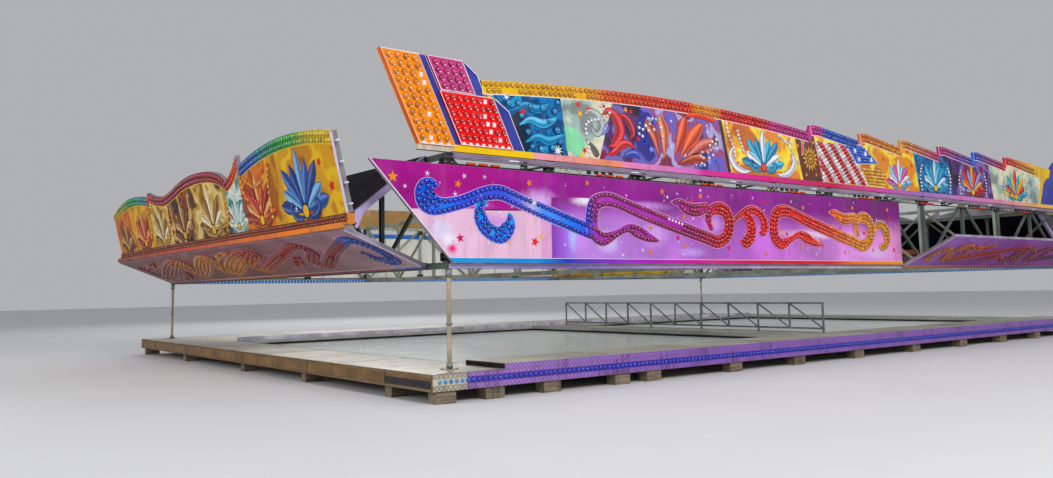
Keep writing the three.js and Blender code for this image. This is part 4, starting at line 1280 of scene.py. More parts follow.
def plume(piece, points, fill, line, lift):
    """A painted plume with a dark outline, a shaded side and a highlight."""
    path = smooth_path(points)
    piece.ribbon(path, tint(line), lift, 0.0010, 0.010)
    piece.ribbon(path, tint(fill), lift, 0.0018)
    normals = sideways(path)
    for side, part, other in ((1, 0.30, "#ffffff"), (-1, 0.45, line)):
        inner = [Vector((p.x + n.x * p.z * 0.45 * side, p.y + n.y * p.z * 0.45 * side, p.z * 0.26))
                 for p, n in zip(path, normals) if p.z > 0.03]
        if len(inner) > 3:
            piece.ribbon(inner, tint(blended(fill, other, part)), lift, 0.0024)


def fan(piece, x, z, radius, hexes, line, lift, jewel=AMBER):
    """A fan of feathers over a jewelled foot, a common fairground ornament."""
    feathers, first, last = 9, 12, 168
    for i in range(feathers):
        angle = math.radians(first + (last - first) * i / (feathers - 1))
        reach = radius * (0.80 + 0.20 * math.sin(angle)) * (1.0 if i % 2 == 0 else 0.84)
        across, up = math.cos(angle), math.sin(angle)
        bend = 0.06 * radius * math.cos(angle)
        points = [(x + across * reach * k + bend * (k > 0.5), z + up * reach * k, radius * w)
                  for k, w in ((0.10, 0.0), (0.45, 0.075), (0.78, 0.10), (1.0, 0.0))]
        plume(piece, points, hexes[i % len(hexes)], line, lift + 0.0004 * (i % 3))
    for side in (1, -1):
        curl = [
            (x + side * radius * a, z + radius * (b - 0.08), radius * w)
            for a, b, w in ((.05, .02, 0), (.22, .0, .04), (.42, .04, .055), (.52, .16, .05),
                            (.44, .25, .035), (.36, .19, .0))]
        plume(piece, curl, blended(hexes[0], line, 0.3), line, lift + 0.0014)
    piece.plate(disc(x, z + radius * 0.02, radius * 0.13), tint(line), lift + 0.003, 0.001)
    piece.plate(disc(x, z + radius * 0.02, radius * 0.10), tint(jewel), lift + 0.003, 0.002)


def rosette(piece, x, z, radius, petals, fill, inner, lift):
    half = math.pi / petals * 0.8
    for k in range(petals):
        angle = 2 * math.pi * k / petals
        corners = ((angle, 0.42), (angle - half, 0.62), (angle, 1.0), (angle + half, 0.62))
        piece.plate(
            [(x + math.cos(a) * radius * part, z + math.sin(a) * radius * part) for a, part in corners],
            fill, lift, 0.002)
    piece.plate(disc(x, z, radius * 0.36), fill, lift, 0.002)
    piece.plate(disc(x, z, radius * 0.27), inner, lift + 0.002, 0.001)
    piece.plate(star(x, z, radius * 0.22, 0.0, 6, 0.5), fill, lift + 0.003, 0.001)


def front_pictures():
    art = Piece()
    glow = Piece()
    sea = mural("picture_sea_blue", ["#06243e", "#0d5a90", "#1478b4", "#0b4678", "#3a9ccc"], 1.9, 0.7)
    cream = mural("picture_cream", ["#bcd8b4", "#ece8cc", "#dcd8bc", "#a8c0b8", "#8c9490"], 1.3, 0.6)
    violet = mural("picture_violet", ["#1c1028", "#54286c", "#7c6cb4", "#84203c", "#3c2050"], 1.3, 0.7)
    haze = mural("picture_lavender", ["#2c2c84", "#6c64bc", "#984c84", "#b4acdc", "#7c2c44"], 1.3, 0.8)
    gold = mural("picture_gold", ["#e8940c", "#f8d024", "#fce870", "#f0b010", "#c86c10"], 1.3, 0.8)
    brown = flat_paint("picture_brown", "#5c2416", cloud=0.6, scale=2.4)
    art.plate([(1.953, FIELD_LOW), (2.83, FIELD_LOW), *((x, inner_top(x)) for x in (2.69, 1.60, 1.40)),
               (1.32, 3.985), (1.41, 3.980), (1.67, 3.80)], sea, 0.0005, FIELD_THICK)
    borders = [
        (2.83, 2.69), (3.50, 3.82), (4.24, 4.47), (6.74, 6.51), (6.82, 6.60), (9.06, 8.85), (9.72, 9.50),
        (13.60, 13.40), (15.20, 15.00), (17.30, 17.10), (19.95, 20.20)]
    grounds = (cream, violet, haze, None, gold, brown, gold, sea, violet, cream)
    for left, right, paint in zip(borders, borders[1:], grounds):
        if paint:
            field(art, *left, *right, paint)
    field(art, *borders[3], *borders[4], tint("#1a1420"), 0.001)

    # Blue field: a spray of glossy drops over sweeping waves
    for i, (x, z) in enumerate(((1.98, 3.36), (1.86, 3.62), (1.75, 3.84))):
        plume(
            art, [(x, z, .01), (x + .22, z + .10, .05), (x + .46, z + .06, .07), (x + .68, z + .14, .04),
                (x + .80 - 0.06 * i, z + .20, .005)], ("#2a9ccc", "#58b8e0", "#2188c0")[i], "#0a3c6a",
            0.0018 + 0.0005 * i)
    drops = [(2.10, 3.30, .045), (2.28, 3.27, .06), (2.50, 3.31, .05), (2.66, 3.42, .04), (2.02, 3.52, .05),
             (2.60, 3.60, .06), (2.44, 3.74, .045), (1.90, 3.76, .045), (2.56, 3.90, .05), (2.32, 3.93, .06),
             (2.08, 3.92, .05), (1.84, 3.95, .045), (1.66, 3.93, .05), (2.62, 4.05, .04)]
    drop = plain_caps("picture_drop", "#2f93c8")
    for x, z, radius in drops:
        glow.lamp(x, z, radius, *drop, 0.003, 14)
        art.plate(disc(x, z, radius * 1.25, 18), tint("#083a66"), 0.0022, 0.0008)
    for x, z, radius in ((2.62, 3.28, 0.10), (1.62, 4.03, 0.07)):
        art.plate(star(x, z, radius, 0.2, 8, 0.35), tint("#eef6fa"), 0.003, 0.001)
    # Cream field: a mint leaf, a grey scroll and stars, with clear lamps down its edge
    art.plate(
        [(2.80, 3.30), (3.12, 3.22), (3.20, 3.42), (3.02, 3.66), (2.76, 3.70)], tint("#8fd6a8", cloud=0.8),
        0.0018, 0.001)
    plume(art, [(3.18, 3.92, .0), (3.30, 3.98, .05), (3.48, 3.92, .08), (3.56, 3.76, .08), (3.46, 3.64, .06),
                (3.34, 3.70, .02)], "#a9b4b6", "#4c4a48", 0.0022)
    plume(
        art, [(3.22, 3.50, .0), (3.34, 3.40, .05), (3.44, 3.28, .06), (3.40, 3.24, .0)], "#3a3430",
        "#d8d0c0", 0.0022)
    stars_at(
        art, ((3.06, 4.07, RED), (3.10, 3.92, AMBER), (3.28, 4.01, RED), (3.18, 3.33, RED),
            (3.12, 3.24, AMBER), (1.93, 3.83, "#d8142c")), 0.065, 3, 0.003)
    for line in (
            [(3.30, 3.24), (3.24, 3.50), (3.22, 3.76), (3.44, 3.86), (3.68, 3.90)],
            [(3.70, 3.95), (3.80, 4.06)]):
        lamp_row(glow, line, CLEAR, 0.075, 0.03)
    # Violet field: red plumes and blue leaves
    plumes = (
        ("#d8141e", [(3.58, 3.96, 0), (3.74, 4.03, .06), (3.90, 3.93, .09), (3.98, 3.72, .10),
                     (3.86, 3.52, .08), (3.72, 3.44, 0)]),
        ("#b80f22", [(3.92, 3.98, 0), (4.08, 3.98, .05), (4.22, 3.86, .07), (4.28, 3.70, .05),
                     (4.20, 3.60, 0)]),
        ("#e02a20", [(3.66, 3.30, 0), (3.84, 3.36, .05), (4.02, 3.50, .06), (4.20, 3.52, .04),
                     (4.32, 3.44, 0)]),
        ("#3450b4", [(4.02, 3.26, 0), (4.16, 3.34, .05), (4.34, 3.36, .06), (4.44, 3.28, 0)]),
        ("#8f9ce0", [(3.56, 3.62, 0), (3.66, 3.72, .05), (3.70, 3.86, 0)]))
    for i, (fill, points) in enumerate(plumes):
        plume(art, points, fill, "#1c1430", 0.0022 + 0.0006 * i)
    stars_at(
        art, ((4.12, 4.10, "#f0a020"), (4.24, 4.08, RED), (3.62, 4.10, RED), (4.40, 3.62, RED)), 0.055, 2)
    lamp_row(glow, [(3.56, 4.10), (3.64, 4.02)], CLEAR, 0.07, 0.028)
    # Lavender field: a fan of warm feathers in a spray of clear lamps
    feathers = [("#c8543c", 4.92, 3.34, 4.60, 3.98, .10), ("#e08058", 5.04, 3.36, 4.96, 4.12, .11),
           ("#d84a28", 5.30, 3.40, 5.62, 4.14, .14), ("#f05a20", 5.42, 3.38, 6.06, 4.06, .13),
           ("#cc5a50", 5.50, 3.32, 6.36, 3.78, .12), ("#b8402c", 5.36, 3.26, 6.16, 3.42, .09)]
    for i, (hexes, x0, z0, x1, z1, width) in enumerate(feathers):
        mid = ((x0 + x1) / 2 + 0.05, (z0 + z1) / 2 + 0.06)
        plume(
            art, [(x0, z0, .01), (*mid, width), (x1 - (x1 - x0) * 0.12, z1 - (z1 - z0) * 0.12, width * 0.7),
                (x1, z1, .0)], hexes, "#3c1c2c", 0.002 + 0.0006 * i)
    plume(
        art, [(5.62, 4.15, .01), (5.86, 4.20, .04), (6.16, 4.19, .05), (6.42, 4.14, .02)], "#f04a12",
        "#7a1c10", 0.007)
    draw = random.Random(4)
    spacing = Spacing(0.075)
    for _ in range(420):
        x = draw.uniform(4.42, 6.45)
        z = draw.uniform(3.26, 4.12)
        wave = 3.62 + 0.28 * math.sin((x - 4.3) * 3.1)
        if abs(z - wave) < 0.15 and z < inner_top(x) - 0.06 and spacing.free(x, z) and not 5.0 < x < 5.9:
            glow.lamp(x, z, 0.03, *CLEAR, 0.006)
    for x, z, radius in scattered(9, 40, 4.45, 6.4, 3.28, 4.1, (0.03, 0.05, 0.06)):
        art.plate(
            star(x, z, radius, x * 5, 5, 0.5), tint(("#2f58c8", "#dfe6fa", "#93a8f0")[int(x * 10) % 3]),
            0.0018, 0.0008)
    # Gold field: a turquoise fan over orange ground
    art.plate([(6.88, 3.21), (8.98, 3.21), (8.92, 3.38), (8.10, 3.32), (7.30, 3.40), (6.84, 3.34)],
              tint("#d8841a", cloud=0.8), 0.0018, 0.001)
    fan(art, 7.80, 3.36, 0.74, ["#22b4e0", "#eef2f4", "#1584b8"], "#20304c", 0.0026, jewel="#e8501a")
    for side in (1, -1):
        plume(
            art, [(7.80 + side * .40, 3.28, .0), (7.80 + side * .60, 3.26, .04),
                (7.80 + side * .84, 3.34, .06), (7.80 + side * .98, 3.54, .05),
                (7.80 + side * .90, 3.72, .0)], "#eef2f4", "#5a4a9c", 0.0050)
    for line in (
            [(6.72, 4.12), (6.80, 3.88), (6.92, 3.66), (6.94, 3.46)],
            [(7.04, 4.02), (7.10, 3.84), (7.22, 3.62)], [(8.30, 4.04), (8.52, 3.94), (8.66, 3.84),
                (8.80, 3.66), (8.94, 3.50)], [(8.58, 3.98), (8.74, 3.92)]):
        lamp_row(glow, line, CLEAR, 0.08, 0.032)
    stars_at(art, ((6.96, 4.06, RED), (7.02, 3.40, RED), (8.64, 4.00, "#e02a14"), (8.92, 3.90, "#f28c10"),
                   (8.40, 3.30, "#f6e03c")), 0.055, 2)
    # Brown field: a gold rosette
    rosette(art, 9.34, 3.66, 0.27, 14, tint("#d8a62c"), tint("#3c180e"), 0.002)
    for x, z in ((9.18, 3.32), (9.52, 3.34), (9.14, 3.98), (9.46, 4.00)):
        art.plate(star(x, z, 0.05, 0.3, 4, 0.4), tint("#d8a62c"), 0.002, 0.0015)
    plume(art, [(9.06, 4.02, .0), (9.10, 3.86, .03), (9.06, 3.70, .0)], "#d81c1c", "#f4e8e0", 0.004)
    # Diagonal lamp stripes
    slope = -1.05
    for i in range(-6, 19):
        base = 8.82 + i * 0.10
        red = (i // 2) % 2 == 0
        if i % 2 == 0:
            drop_x = 0.83 / slope
            corners = [
                (base - 0.05, 4.05), (base + 0.15, 4.05), (base + 0.15 - drop_x, 3.22),
                (base - 0.05 - drop_x, 3.22)]
            clipped = [(min(max(x, 9.72 - (z - 3.2) * 0.25), 11.5 - (z - 3.2) * 0.9), z) for x, z in corners]
            if clipped[1][0] - clipped[0][0] > 0.01 or clipped[2][0] - clipped[3][0] > 0.01:
                art.plate(clipped, tint("#c81414" if red else "#d8cfd8"), 0.002, 0.001)
        for k in range(14):
            z = 4.02 - (k + 0.5 * (i % 2)) * 0.0608
            x = base + (z - 4.05) / slope
            inside = 9.76 - (z - 3.2) * 0.25 < x < 11.44 - (z - 3.2) * 0.9
            if inside and 3.24 < z < inner_top(x) - 0.03:
                glow.lamp(x, z, 0.040, *(RED_LAMP if red else CLEAR), 0.003)
    # Blue field of lamps with raised stars
    blue_field = [(10.60, 4.06), (11.24, 4.12), (11.90, 3.74), (10.92, 3.66)]
    stars = ((10.96, 3.96), (11.10, 3.78), (11.36, 3.92), (11.58, 3.80))
    art.plate(blue_field, tint("#1c66d0", cloud=0.5), 0.0035, 0.0015)
    framed(art, blue_field, tint("#eef2fa"), 0.005, 0.014, 0.001)
    lamp_fill(glow, blue_field, BLUE_LAMP, 0.036, 0.005, [(x, z, 0.068) for x, z in stars])
    for x, z in stars:
        art.plate(star(x, z, 0.062, x, 5, 0.5), tint("#f4f6fa"), 0.005, 0.024)
    # Yellow lamps below it
    lamp_fill(
        glow, [(11.10, 3.64), (11.86, 3.70), (12.16, 3.56), (12.24, 3.24), (11.46, 3.24)], GOLD_LAMP, 0.041,
        0.003)
    fan(art, 12.72, 3.30, 0.62, ["#8fd0f0", "#f4f0f4", "#e8549c"], "#3c3060", 0.0040)
    stars_at(art, ((12.10, 3.86, RED), (11.96, 3.40, RED), (13.3, 3.80, RED)), 0.05, 1)
    # Right hand fields: feather fans of the same family
    for x, radius, hexes, line in ((14.35, 0.72, ["#58b8e0", "#d8eef8", "#2a9ccc"], "#0a2c50"),
                                   (16.20, 0.74, ["#d8141e", "#f0a020", "#8f9ce0"], "#1c1430"),
                                   (18.60, 0.76, ["#22b4e0", "#e02a20", "#f2c010"], "#3a3430")):
        fan(art, x, 3.32, radius, hexes, line, 0.0026)
        for side in (1, -1):
            line = [(x + side * 0.66, 3.26), (x + side * 0.70, 3.6), (x + side * 0.60, 3.86)]
            lamp_row(glow, line, CLEAR, 0.085, 0.032, 0.010)
    art.build("front_crown_pictures", *PICTURE_BOARD)
    glow.build("front_crown_picture_lamps", *PICTURE_BOARD)


front_pictures()


# Side crowns

# How far a painted ground ends inside its board's edge
EDGE = 0.004


def side_outline():
    """Places (x, z) on the side crown's upper outline, from its front end to its rear end."""
    arcs = (
        ((0, 1.173), (0.146, 1.541), (0.293, 1.124), 24),
        ((0.293, 1.319), (0.315, 1.050), (0.352, 0.960), 8),
        ((0.352, 0.960), (0.370, 1.150), (0.420, 1.230), 10),
        ((0.420, 1.230), (0.500, 1.340), (0.580, 1.165), 16),
        ((0.580, 1.165), (0.620, 1.070), (0.655, 1.045), 8),
        ((0.655, 1.045), (0.710, 1.090), (0.739, 1.233), 10),
        ((0.742, 1.116), (0.870, 1.449), (1, 0.987), 20))
    line = []
    for *points, steps in arcs:
        for point in quadratic(*((part * CROWN_LENGTH, z) for part, z in points), steps):
            if not line or math.dist(point, line[-1]) > 0.004:
                line.append(point)
    return line


def height_at(line, x):
    for (ax, az), (bx, bz) in zip(line, line[1:]):
        if ax <= x <= bx and bx > ax:
            return az + (bz - az) * (x - ax) / (bx - ax)
    return line[-1][1]


def side_crown(name, place, body, mirrored):
    """Dresses a side crown. Mirrored: the board's x runs from the rear end to the front end."""
    where = (place, body, "scroll_board")
    line = side_outline()
    if mirrored:
        line = [(CROWN_LENGTH - x, z) for x, z in reversed(line)]

    def at(part):
        return (1 - part) * CROWN_LENGTH if mirrored else part * CROWN_LENGTH

    top_stops = [
        (0.0, "#e8c020"), (0.06, "#d8c428"), (0.10, "#5cb04c"), (0.16, "#2f9c58"), (0.20, "#1c8c8c"),
        (0.24, "#2868c0"), (0.285, "#2c58b8"), (0.295, "#e87010"), (0.33, "#d83c18"), (0.36, "#a01c30"),
        (0.50, "#901838"), (0.70, "#a02430"), (0.74, "#c84c20"), (0.76, "#2c7c88"), (0.86, "#2f9c58"),
        (1.0, "#d8b428")]
    stops = sorted((at(part), hexes) for part, hexes in top_stops)
    paint = board_paint(name + "_band", stops, 0.0, CROWN_LENGTH, cloud=0.2)
    pair = caps(name + "_band", stops, 0.0, CROWN_LENGTH)
    art, band, domes, glow, edge = (Piece() for _ in range(5))
    depth = 0.20
    last_lamp = CROWN_LENGTH - 0.05
    dense = []
    for (ax, az), (bx, bz) in zip(line, line[1:]):
        steps = max(1, int(math.dist((ax, az), (bx, bz)) / 0.05))
        dense += [(ax + (bx - ax) * k / steps, az + (bz - az) * k / steps) for k in range(steps)]
    dense.append(line[-1])
    foot = [(x, z - depth) for x, z in dense]
    band.strip([(x, z - 0.003) for x, z in dense], foot, paint, 0.0, 0.003)
    band.strip(foot, [(x, z - 0.014) for x, z in foot], tint("#f2c21a"), 0.0, 0.004)
    for x in run(0.06, last_lamp, 0.096):
        for across, drop in ((x, 0.055), (min(x + 0.048, last_lamp), 0.145)):
            domes.lamp(across, height_at(line, across) - drop, 0.040, *pair, 0.003, 10)

    sunny = mural(name + "_sunny", ["#a8640c", "#d8a01c", "#ecc03c", "#cc8c14", "#8c4c10"], 0.9, 0.9)
    warm = mural(name + "_warm", ["#a04814", "#d8802c", "#c86820", "#e8a04c", "#803010"], 1.0, 0.8)
    cream = mural(
        name + "_cream", ["#4c3014", "#bc9040", "#e8d090", "#d4b060", "#946424", "#301c08"], 1.1, 1.1)
    umber = mural(name + "_umber", ["#2c1a0c", "#8a5a30", "#d8b070", "#5c3418", "#b84c20"], 1.3, 1.0)
    teal = mural(name + "_teal", ["#2c7c80", "#58a8a4", "#e0e8dc", "#3c8c90"], 1.6, 0.7)
    for first, last, ground in (
            (0.0, 0.20, sunny), (0.20, 0.30, warm), (0.30, 0.36, teal), (0.36, 0.52, cream),
            (0.52, 0.64, umber), (0.64, 0.75, cream), (0.75, 0.88, sunny), (0.88, 1.0, warm)):
        a, b = sorted((at(first), at(last)))
        steps = max(3, int((b - a) / 0.15))
        tops = [b + (a - b) * k / steps for k in range(steps + 1)]
        outline = [(a, EDGE), (b, EDGE)] + [(x, height_at(line, x) - depth - 0.012) for x in tops]
        art.plate(
            [(min(max(x, EDGE), CROWN_LENGTH - EDGE), z) for x, z in outline], ground, 0.0005, FIELD_THICK)
    blue = ["#2c5cb0", "#78b0e0", "#1c3c8c"]
    fire = ["#d8501c", "#f0a860", "#a02c14"]
    straw = ["#d8b060", "#f4ecc8", "#8a5c28"]
    chestnut = ["#8a4a20", "#e0b878", "#5c2c10"]
    for part, z, radius, hexes, line in (
            (0.105, .12, .98, blue, "#101c40"), (0.243, .12, .80, fire, "#40180c"),
            (0.330, .10, .56, ["#f4f0e4", "#a8d0cc"], "#2c5c5c"), (0.435, .12, .86, straw, "#4c3014"),
            (0.575, .12, .74, chestnut, "#2c1808"), (0.695, .10, .70, straw, "#4c3014"),
            (0.810, .12, .78, fire, "#40180c"), (0.935, .10, .62, chestnut, "#2c1808")):
        fan(art, at(part), z, radius, hexes, line, 0.002)
    for part, z, hexes, radius in (
            (0.025, .42, "#e01a14", .09), (0.045, .80, "#e02a14", .07), (0.19, .98, "#e01a14", .06),
            (0.205, 1.04, "#f28c10", .05), (0.21, .92, "#e01a14", .05), (0.13, .20, "#e8e0f0", .05),
            (0.35, .30, "#e01a14", .06), (0.60, .55, "#f2c010", .05), (0.77, .40, "#e01a14", .06)):
        art.plate(star(at(part), z, radius, part * 40), tint(hexes), 0.0095, 0.0015)
    rows = (
        [(0.205, .15), (0.203, .45), (0.198, .75), (0.19, .95)], [(0.27, .82), (0.245, .70), (0.215, .78)],
        [(0.29, .95), (0.285, .60), (0.27, .50)], [(0.295, .62), (0.27, .56), (0.24, .42)],
        [(0.36, .60), (0.362, .35), (0.375, .15)], [(0.64, .68), (0.645, .40), (0.66, .15)],
        [(0.75, .80), (0.752, .50), (0.765, .18)])
    for i, row in enumerate(rows):
        lamp_row(
            glow, [(at(part), z) for part, z in row], (GOLD_LAMP, ORANGE_LAMP, GOLD_LAMP, RED_LAMP)[i % 4],
            0.10, 0.038, 0.0035)
    # A pale strip at the front end, and the pegs that stand out of that end
    low, high = (CROWN_LENGTH - 0.06, CROWN_LENGTH + 0.006) if mirrored else (-0.006, 0.06)
    edge.block((low, -0.006, 0.0), (high, 0.0, 1.15), tint("#e6dcf0"))
    outwards = 1 if mirrored else -1
    start = at(0) + 0.004 * outwards
    for z in (0.12, 0.42, 0.72, 1.02):
        edge.tube((start, 0.03, z), (start + 0.11 * outwards, 0.03, z), 0.016, tint("#e6dcf0"))
    for ending, piece in (("pictures", art), ("band", band), ("band_lamps", domes), ("picture_lamps", glow),
                          ("end_fittings", edge)):
        piece.build(name + "_" + ending, *where)


tread = tread_steel()
HARDWARE = worn_metal("bright_fittings", "#a9adb0", metallic=0.9, wear=0.6, streak=0.2)
DARK_STEEL = worn_metal("dark_fittings", "#23232a", metallic=0.4, wear=0.3, streak=0.2)
side_crown("left_crown_board", LEFT_CROWN, "left_crown", True)
side_crown("right_crown_board", RIGHT_CROWN, DECK_BODY, False)


def side_base(name, hinge, body, low_x, high_x):
    """Lamps and lining on the outer face of a side crown's base beam."""
    where = (hinge @ CROWN_HINGE @ shift(0, 0.060, 0), body, "crown_base")
    lining = Piece()
    domes = Piece()
    pair = caps(name, [(low_x, "#8a3c1c"), (high_x, "#9c4018")], low_x, high_x)
    for z, start in ((0.095, 0.08), (0.155, 0.125)):
        for x in run(low_x + start, high_x - 0.06, 0.09):
            domes.lamp(x, z, 0.026, *pair, 0.0015, 10)
    lining.bar((low_x + 0.01, 0.184), (high_x - 0.01, 0.189), tint("#1c1418"), 0.0, 0.004)
    lining.bar((low_x + 0.01, 0.066), (high_x - 0.01, 0.186), tint("#7a4024"), 0.0, 0.0012)
    lining.build(name + "_lining", *where)
    domes.build(name + "_lamps", *where)


side_base("left_crown_base", LEFT_HINGE, "left_crown", LEFT_START, LEFT_END)
side_base("right_crown_base", RIGHT_HINGE, DECK_BODY, RIGHT_START, RIGHT_END)


# Deck trims, edge lamps and roof fittings

LAMP_STEP = 0.09
TRIM_LOW = 0.0004
WELL_FRONT, WELL_REAR = 1.342, 11.098
GUSSET_ROWS = (1.53, 2.90)
ROLL_PART = 0.995
BAR_WIDTH = 0.012


def upright(x, low, high):
    """The corners of a narrow upright bar at x."""
    return (x, low), (x + BAR_WIDTH, high)


def front_edge():
    """Lamps and strips on the deck's front edge, and the tread cover along its front walkway."""
    lamps = Piece()
    edge = caps("edge_lamp", [(0, "#5cb8ec"), (0.56, "#4c9ce8"), (0.60, "#2444c8"), (22, "#2038c0")])
    for x in run(0.12, 21.95, LAMP_STEP):
        lamps.lamp(x, -0.105, 0.030, *edge, 0.001, 10)
    lamps.build("front_edge_lamps", *ON_DECK, "edge_board")
    strips = Piece()
    # Past the cream corner the tread is lilac: painted light, the purple floodlight that falls on it.
    lilac_lit = edge_tread(
        "front_edge_tread", [(0, "#dcd6c4"), (0.56, "#dcd6c4"), (0.60, "#c8a0ec"), (5, "#b486e4"),
            (22, "#b48cdc")])
    band = board_paint("edge_band", [(0, "#d0c8b4"), (0.56, "#d0c8b4"), (0.60, "#5c44a8"), (4.0, "#4434a4"),
                       (22, "#4c3cac")])
    for low, high, paint, thick in ((-0.226, -0.152, lilac_lit, 0.0015), (-0.150, -0.062, band, 0.001),
                                    (-0.060, -0.004, lilac_lit, 0.0015)):
        strips.bar((0.01, low), (22.03, high), paint, 0.0, thick)
    for x in (0.57, 3.35, 6.1, 8.9, 11.7, 14.5, 17.3, 20.1):
        strips.bar(*upright(x, -0.226, -0.004), DARK_STEEL, 0.0, 0.003)
    strips.build("front_edge_strips", *ON_DECK, "edge_board")

    # The raised tread cover has open ends that show its dark frame, and a near-black sheet inside each end
    # as painted shade.
    cover = Piece()
    start, end, depth, top = 1.20, 20.84, 1.00, 0.080
    cover.block((start, 0.0, top - 0.007), (end, depth, top), tread)
    # The cover's front face carries the same painted purple floodlight.
    cover.block((start, 0.0, -0.002), (end, 0.006, top - 0.008), lilac_lit)
    cover.block((start, depth - 0.006, 0.0), (end, depth, top - 0.008), HARDWARE)
    for x in (start, end - 0.004):
        for low, high in ((0.0, 0.012), (top - 0.020, top - 0.008)):
            cover.block((x, 0.008, low), (x + 0.004, depth - 0.008, high), DARK_STEEL)
    # Near-black sheets inside the open ends: painted shade in the hollow of the cover.
    for x in (start + 0.02, end - 0.026):
        cover.block((x, 0.008, 0.001), (x + 0.006, depth - 0.008, top - 0.009), tint("#14120f"))
    for i in range(1, 10):
        x = start + (end - start) * i / 10
        cover.block((x - 0.006, 0.002, top - 0.002), (x + 0.006, depth - 0.002, top + 0.0015), DARK_STEEL)
    cover.build("front_walkway_cover", *ON_DECK, "tread_plate")


def edge_rims():
    """Worn rims, dark plates that stand for recesses as painted shade, and bolts on the deck's other three
    edges.
    """
    brown = edge_tread(
        "side_edge_tread", [(0, "#947a54"), (10, "#947850"), (DECK_DEPTH, "#ac9a74")], DECK_DEPTH)
    for name, x, y, angle, length in (
            ("left", 0, DECK_DEPTH, -90, 14.57), ("right", DECK_LENGTH, 0, 90, 14.57),
            ("rear", DECK_LENGTH, DECK_DEPTH, 180, 22.0)):
        rim = Piece()
        for low, high in ((-0.040, -0.003), (-0.228, -0.196)):
            rim.bar((0.04, low), (length, high), brown, 0.0, 0.003)
        # A flat dark plate stands for each recess: painted shade.
        recess = (length - 1.27, length) if name == "left" else (0.04, 1.31)
        rim.bar((recess[0], -0.190), (recess[1], -0.088), DARK_STEEL, 0.0, 0.0012)
        for across in (1.31, 4.4, 7.5, 10.6, length - 1.27):
            rim.bar(*upright(across, -0.228, -0.003), DARK_STEEL, 0.0, 0.004)
        for i in range(0 if name == "rear" else int(length / 0.62)):
            rim.lamp(0.3 + i * 0.62, -0.215, 0.010, HARDWARE, HARDWARE, 0.003, 8)
        rim.build(name + "_edge_rim", DECK @ shift(x, y, 0) @ turn(angle, "Z"), DECK_BODY, "edge_board")


def deck_trims():
    """White corners, bright trims, the walls of the two driving floors, and seams between plates."""
    trims = Piece()
    for x in (0.0, 21.93):
        trims.block((x + 0.005, 0.002, 0.0005), (x + 0.10, 0.10, 0.006), tint("#ece8e4"))
    for low, high, y in ((0.1, 21.9, 0.012), (1.36, 10.34, 1.348), (11.70, 20.68, 1.348)):
        trims.block((low, y, TRIM_LOW), (high, y + 0.045, 0.0045), HARDWARE)
    for x in (1.30, 20.70, 10.36, 11.64):
        trims.block((x, 1.36, TRIM_LOW), (x + 0.036, 11.08, 0.0045), HARDWARE)
    rubber = flat_paint("well_edge_rubber", "#202226", cloud=0.5)
    pale = flat_paint("well_wall_steel", "#b9b8b0", cloud=0.4)
    for left, right in ((WELL_FRONT, 10.348), (11.692, 20.698)):
        for low, high, deep, paint in ((-0.119, -0.072, 0.012, rubber), (-0.072, -0.001, 0.006, pale)):
            for x in (left, right - deep):
                trims.block((x, WELL_FRONT, low), (x + deep, WELL_REAR, high), paint)
            for y in (WELL_FRONT, WELL_REAR - deep):
                trims.block((left, y, low), (right, y + deep, high), paint)
    seams = [((x, low), (x + 0.012, high)) for x in (3.4, 5.5, 7.6, 9.7, 12.3, 14.4, 16.5, 18.6)
             for low, high in ((0.06, 1.33), (11.25, 14.52))]
    seams += [((low, y), (high, y + 0.012)) for y in (2.9, 4.5, 6.1, 7.7, 9.3)
              for low, high in ((0.04, 1.29), (20.75, 22.0), (10.40, 11.62))]
    for low, high in seams:
        trims.block((*low, 0.0003), (*high, 0.0022), DARK_STEEL)
    trims.build("deck_trims", *ON_DECK, "tread_plate")


def post_fittings():
    """Bolts, sockets, a collar and a pin on each post."""
    bolts = Piece()
    for x, y in (
            (POST_LEFT, POST_FRONT), (POST_RIGHT, POST_FRONT), (POST_LEFT, POST_REAR),
            (POST_RIGHT, POST_REAR)):
        for dx in (-0.075, 0.075):
            for dy in (-0.075, 0.075):
                bolts.tube((x + dx, y + dy, 0.012), (x + dx, y + dy, 0.024), 0.013, HARDWARE, 6)
        for low, high, radius in ((0.014, 0.09, 0.046), (1.30, 1.418, 0.048), (0.62, 0.66, 0.040)):
            bolts.tube((x, y, low), (x, y, high), radius, HARDWARE, 16)
        bolts.tube((x - 0.055, y, 0.64), (x + 0.055, y, 0.64), 0.010, HARDWARE, 8)
    bolts.build("post_fittings", *ON_DECK, "post")


def girder_gussets():
    """Plates on both faces of the outer girders, where their uprights meet the chords."""
    plates = Piece()
    step = (20.888 - 0.068) / 11
    for y in (POST_FRONT, POST_REAR):
        for i in range(12):
            x = 0.576 + 0.034 + i * step
            for z in GUSSET_ROWS:
                for face in (-0.044, 0.036):
                    plates.block(
                        (x - 0.085, y + face, z), (x + 0.085, y + face + 0.008, z + 0.12), DARK_STEEL)
                for dx in (-0.055, 0.055):
                    plates.tube(
                        (x + dx, y - 0.054, z + 0.06), (x + dx, y + 0.054, z + 0.06), 0.011, HARDWARE, 6)
    step = (POST_REAR - POST_FRONT - 0.0806 - 0.068) / 7
    for x in (POST_LEFT, POST_RIGHT):
        for i in range(8):
            y = 0.5743 + 0.034 + i * step
            for z in GUSSET_ROWS:
                for face in (-0.044, 0.036):
                    plates.block((x + face, y - 0.08, z), (x + face + 0.008, y + 0.08, z + 0.12), DARK_STEEL)
    plates.build("girder_gussets", *ON_DECK, "girder")


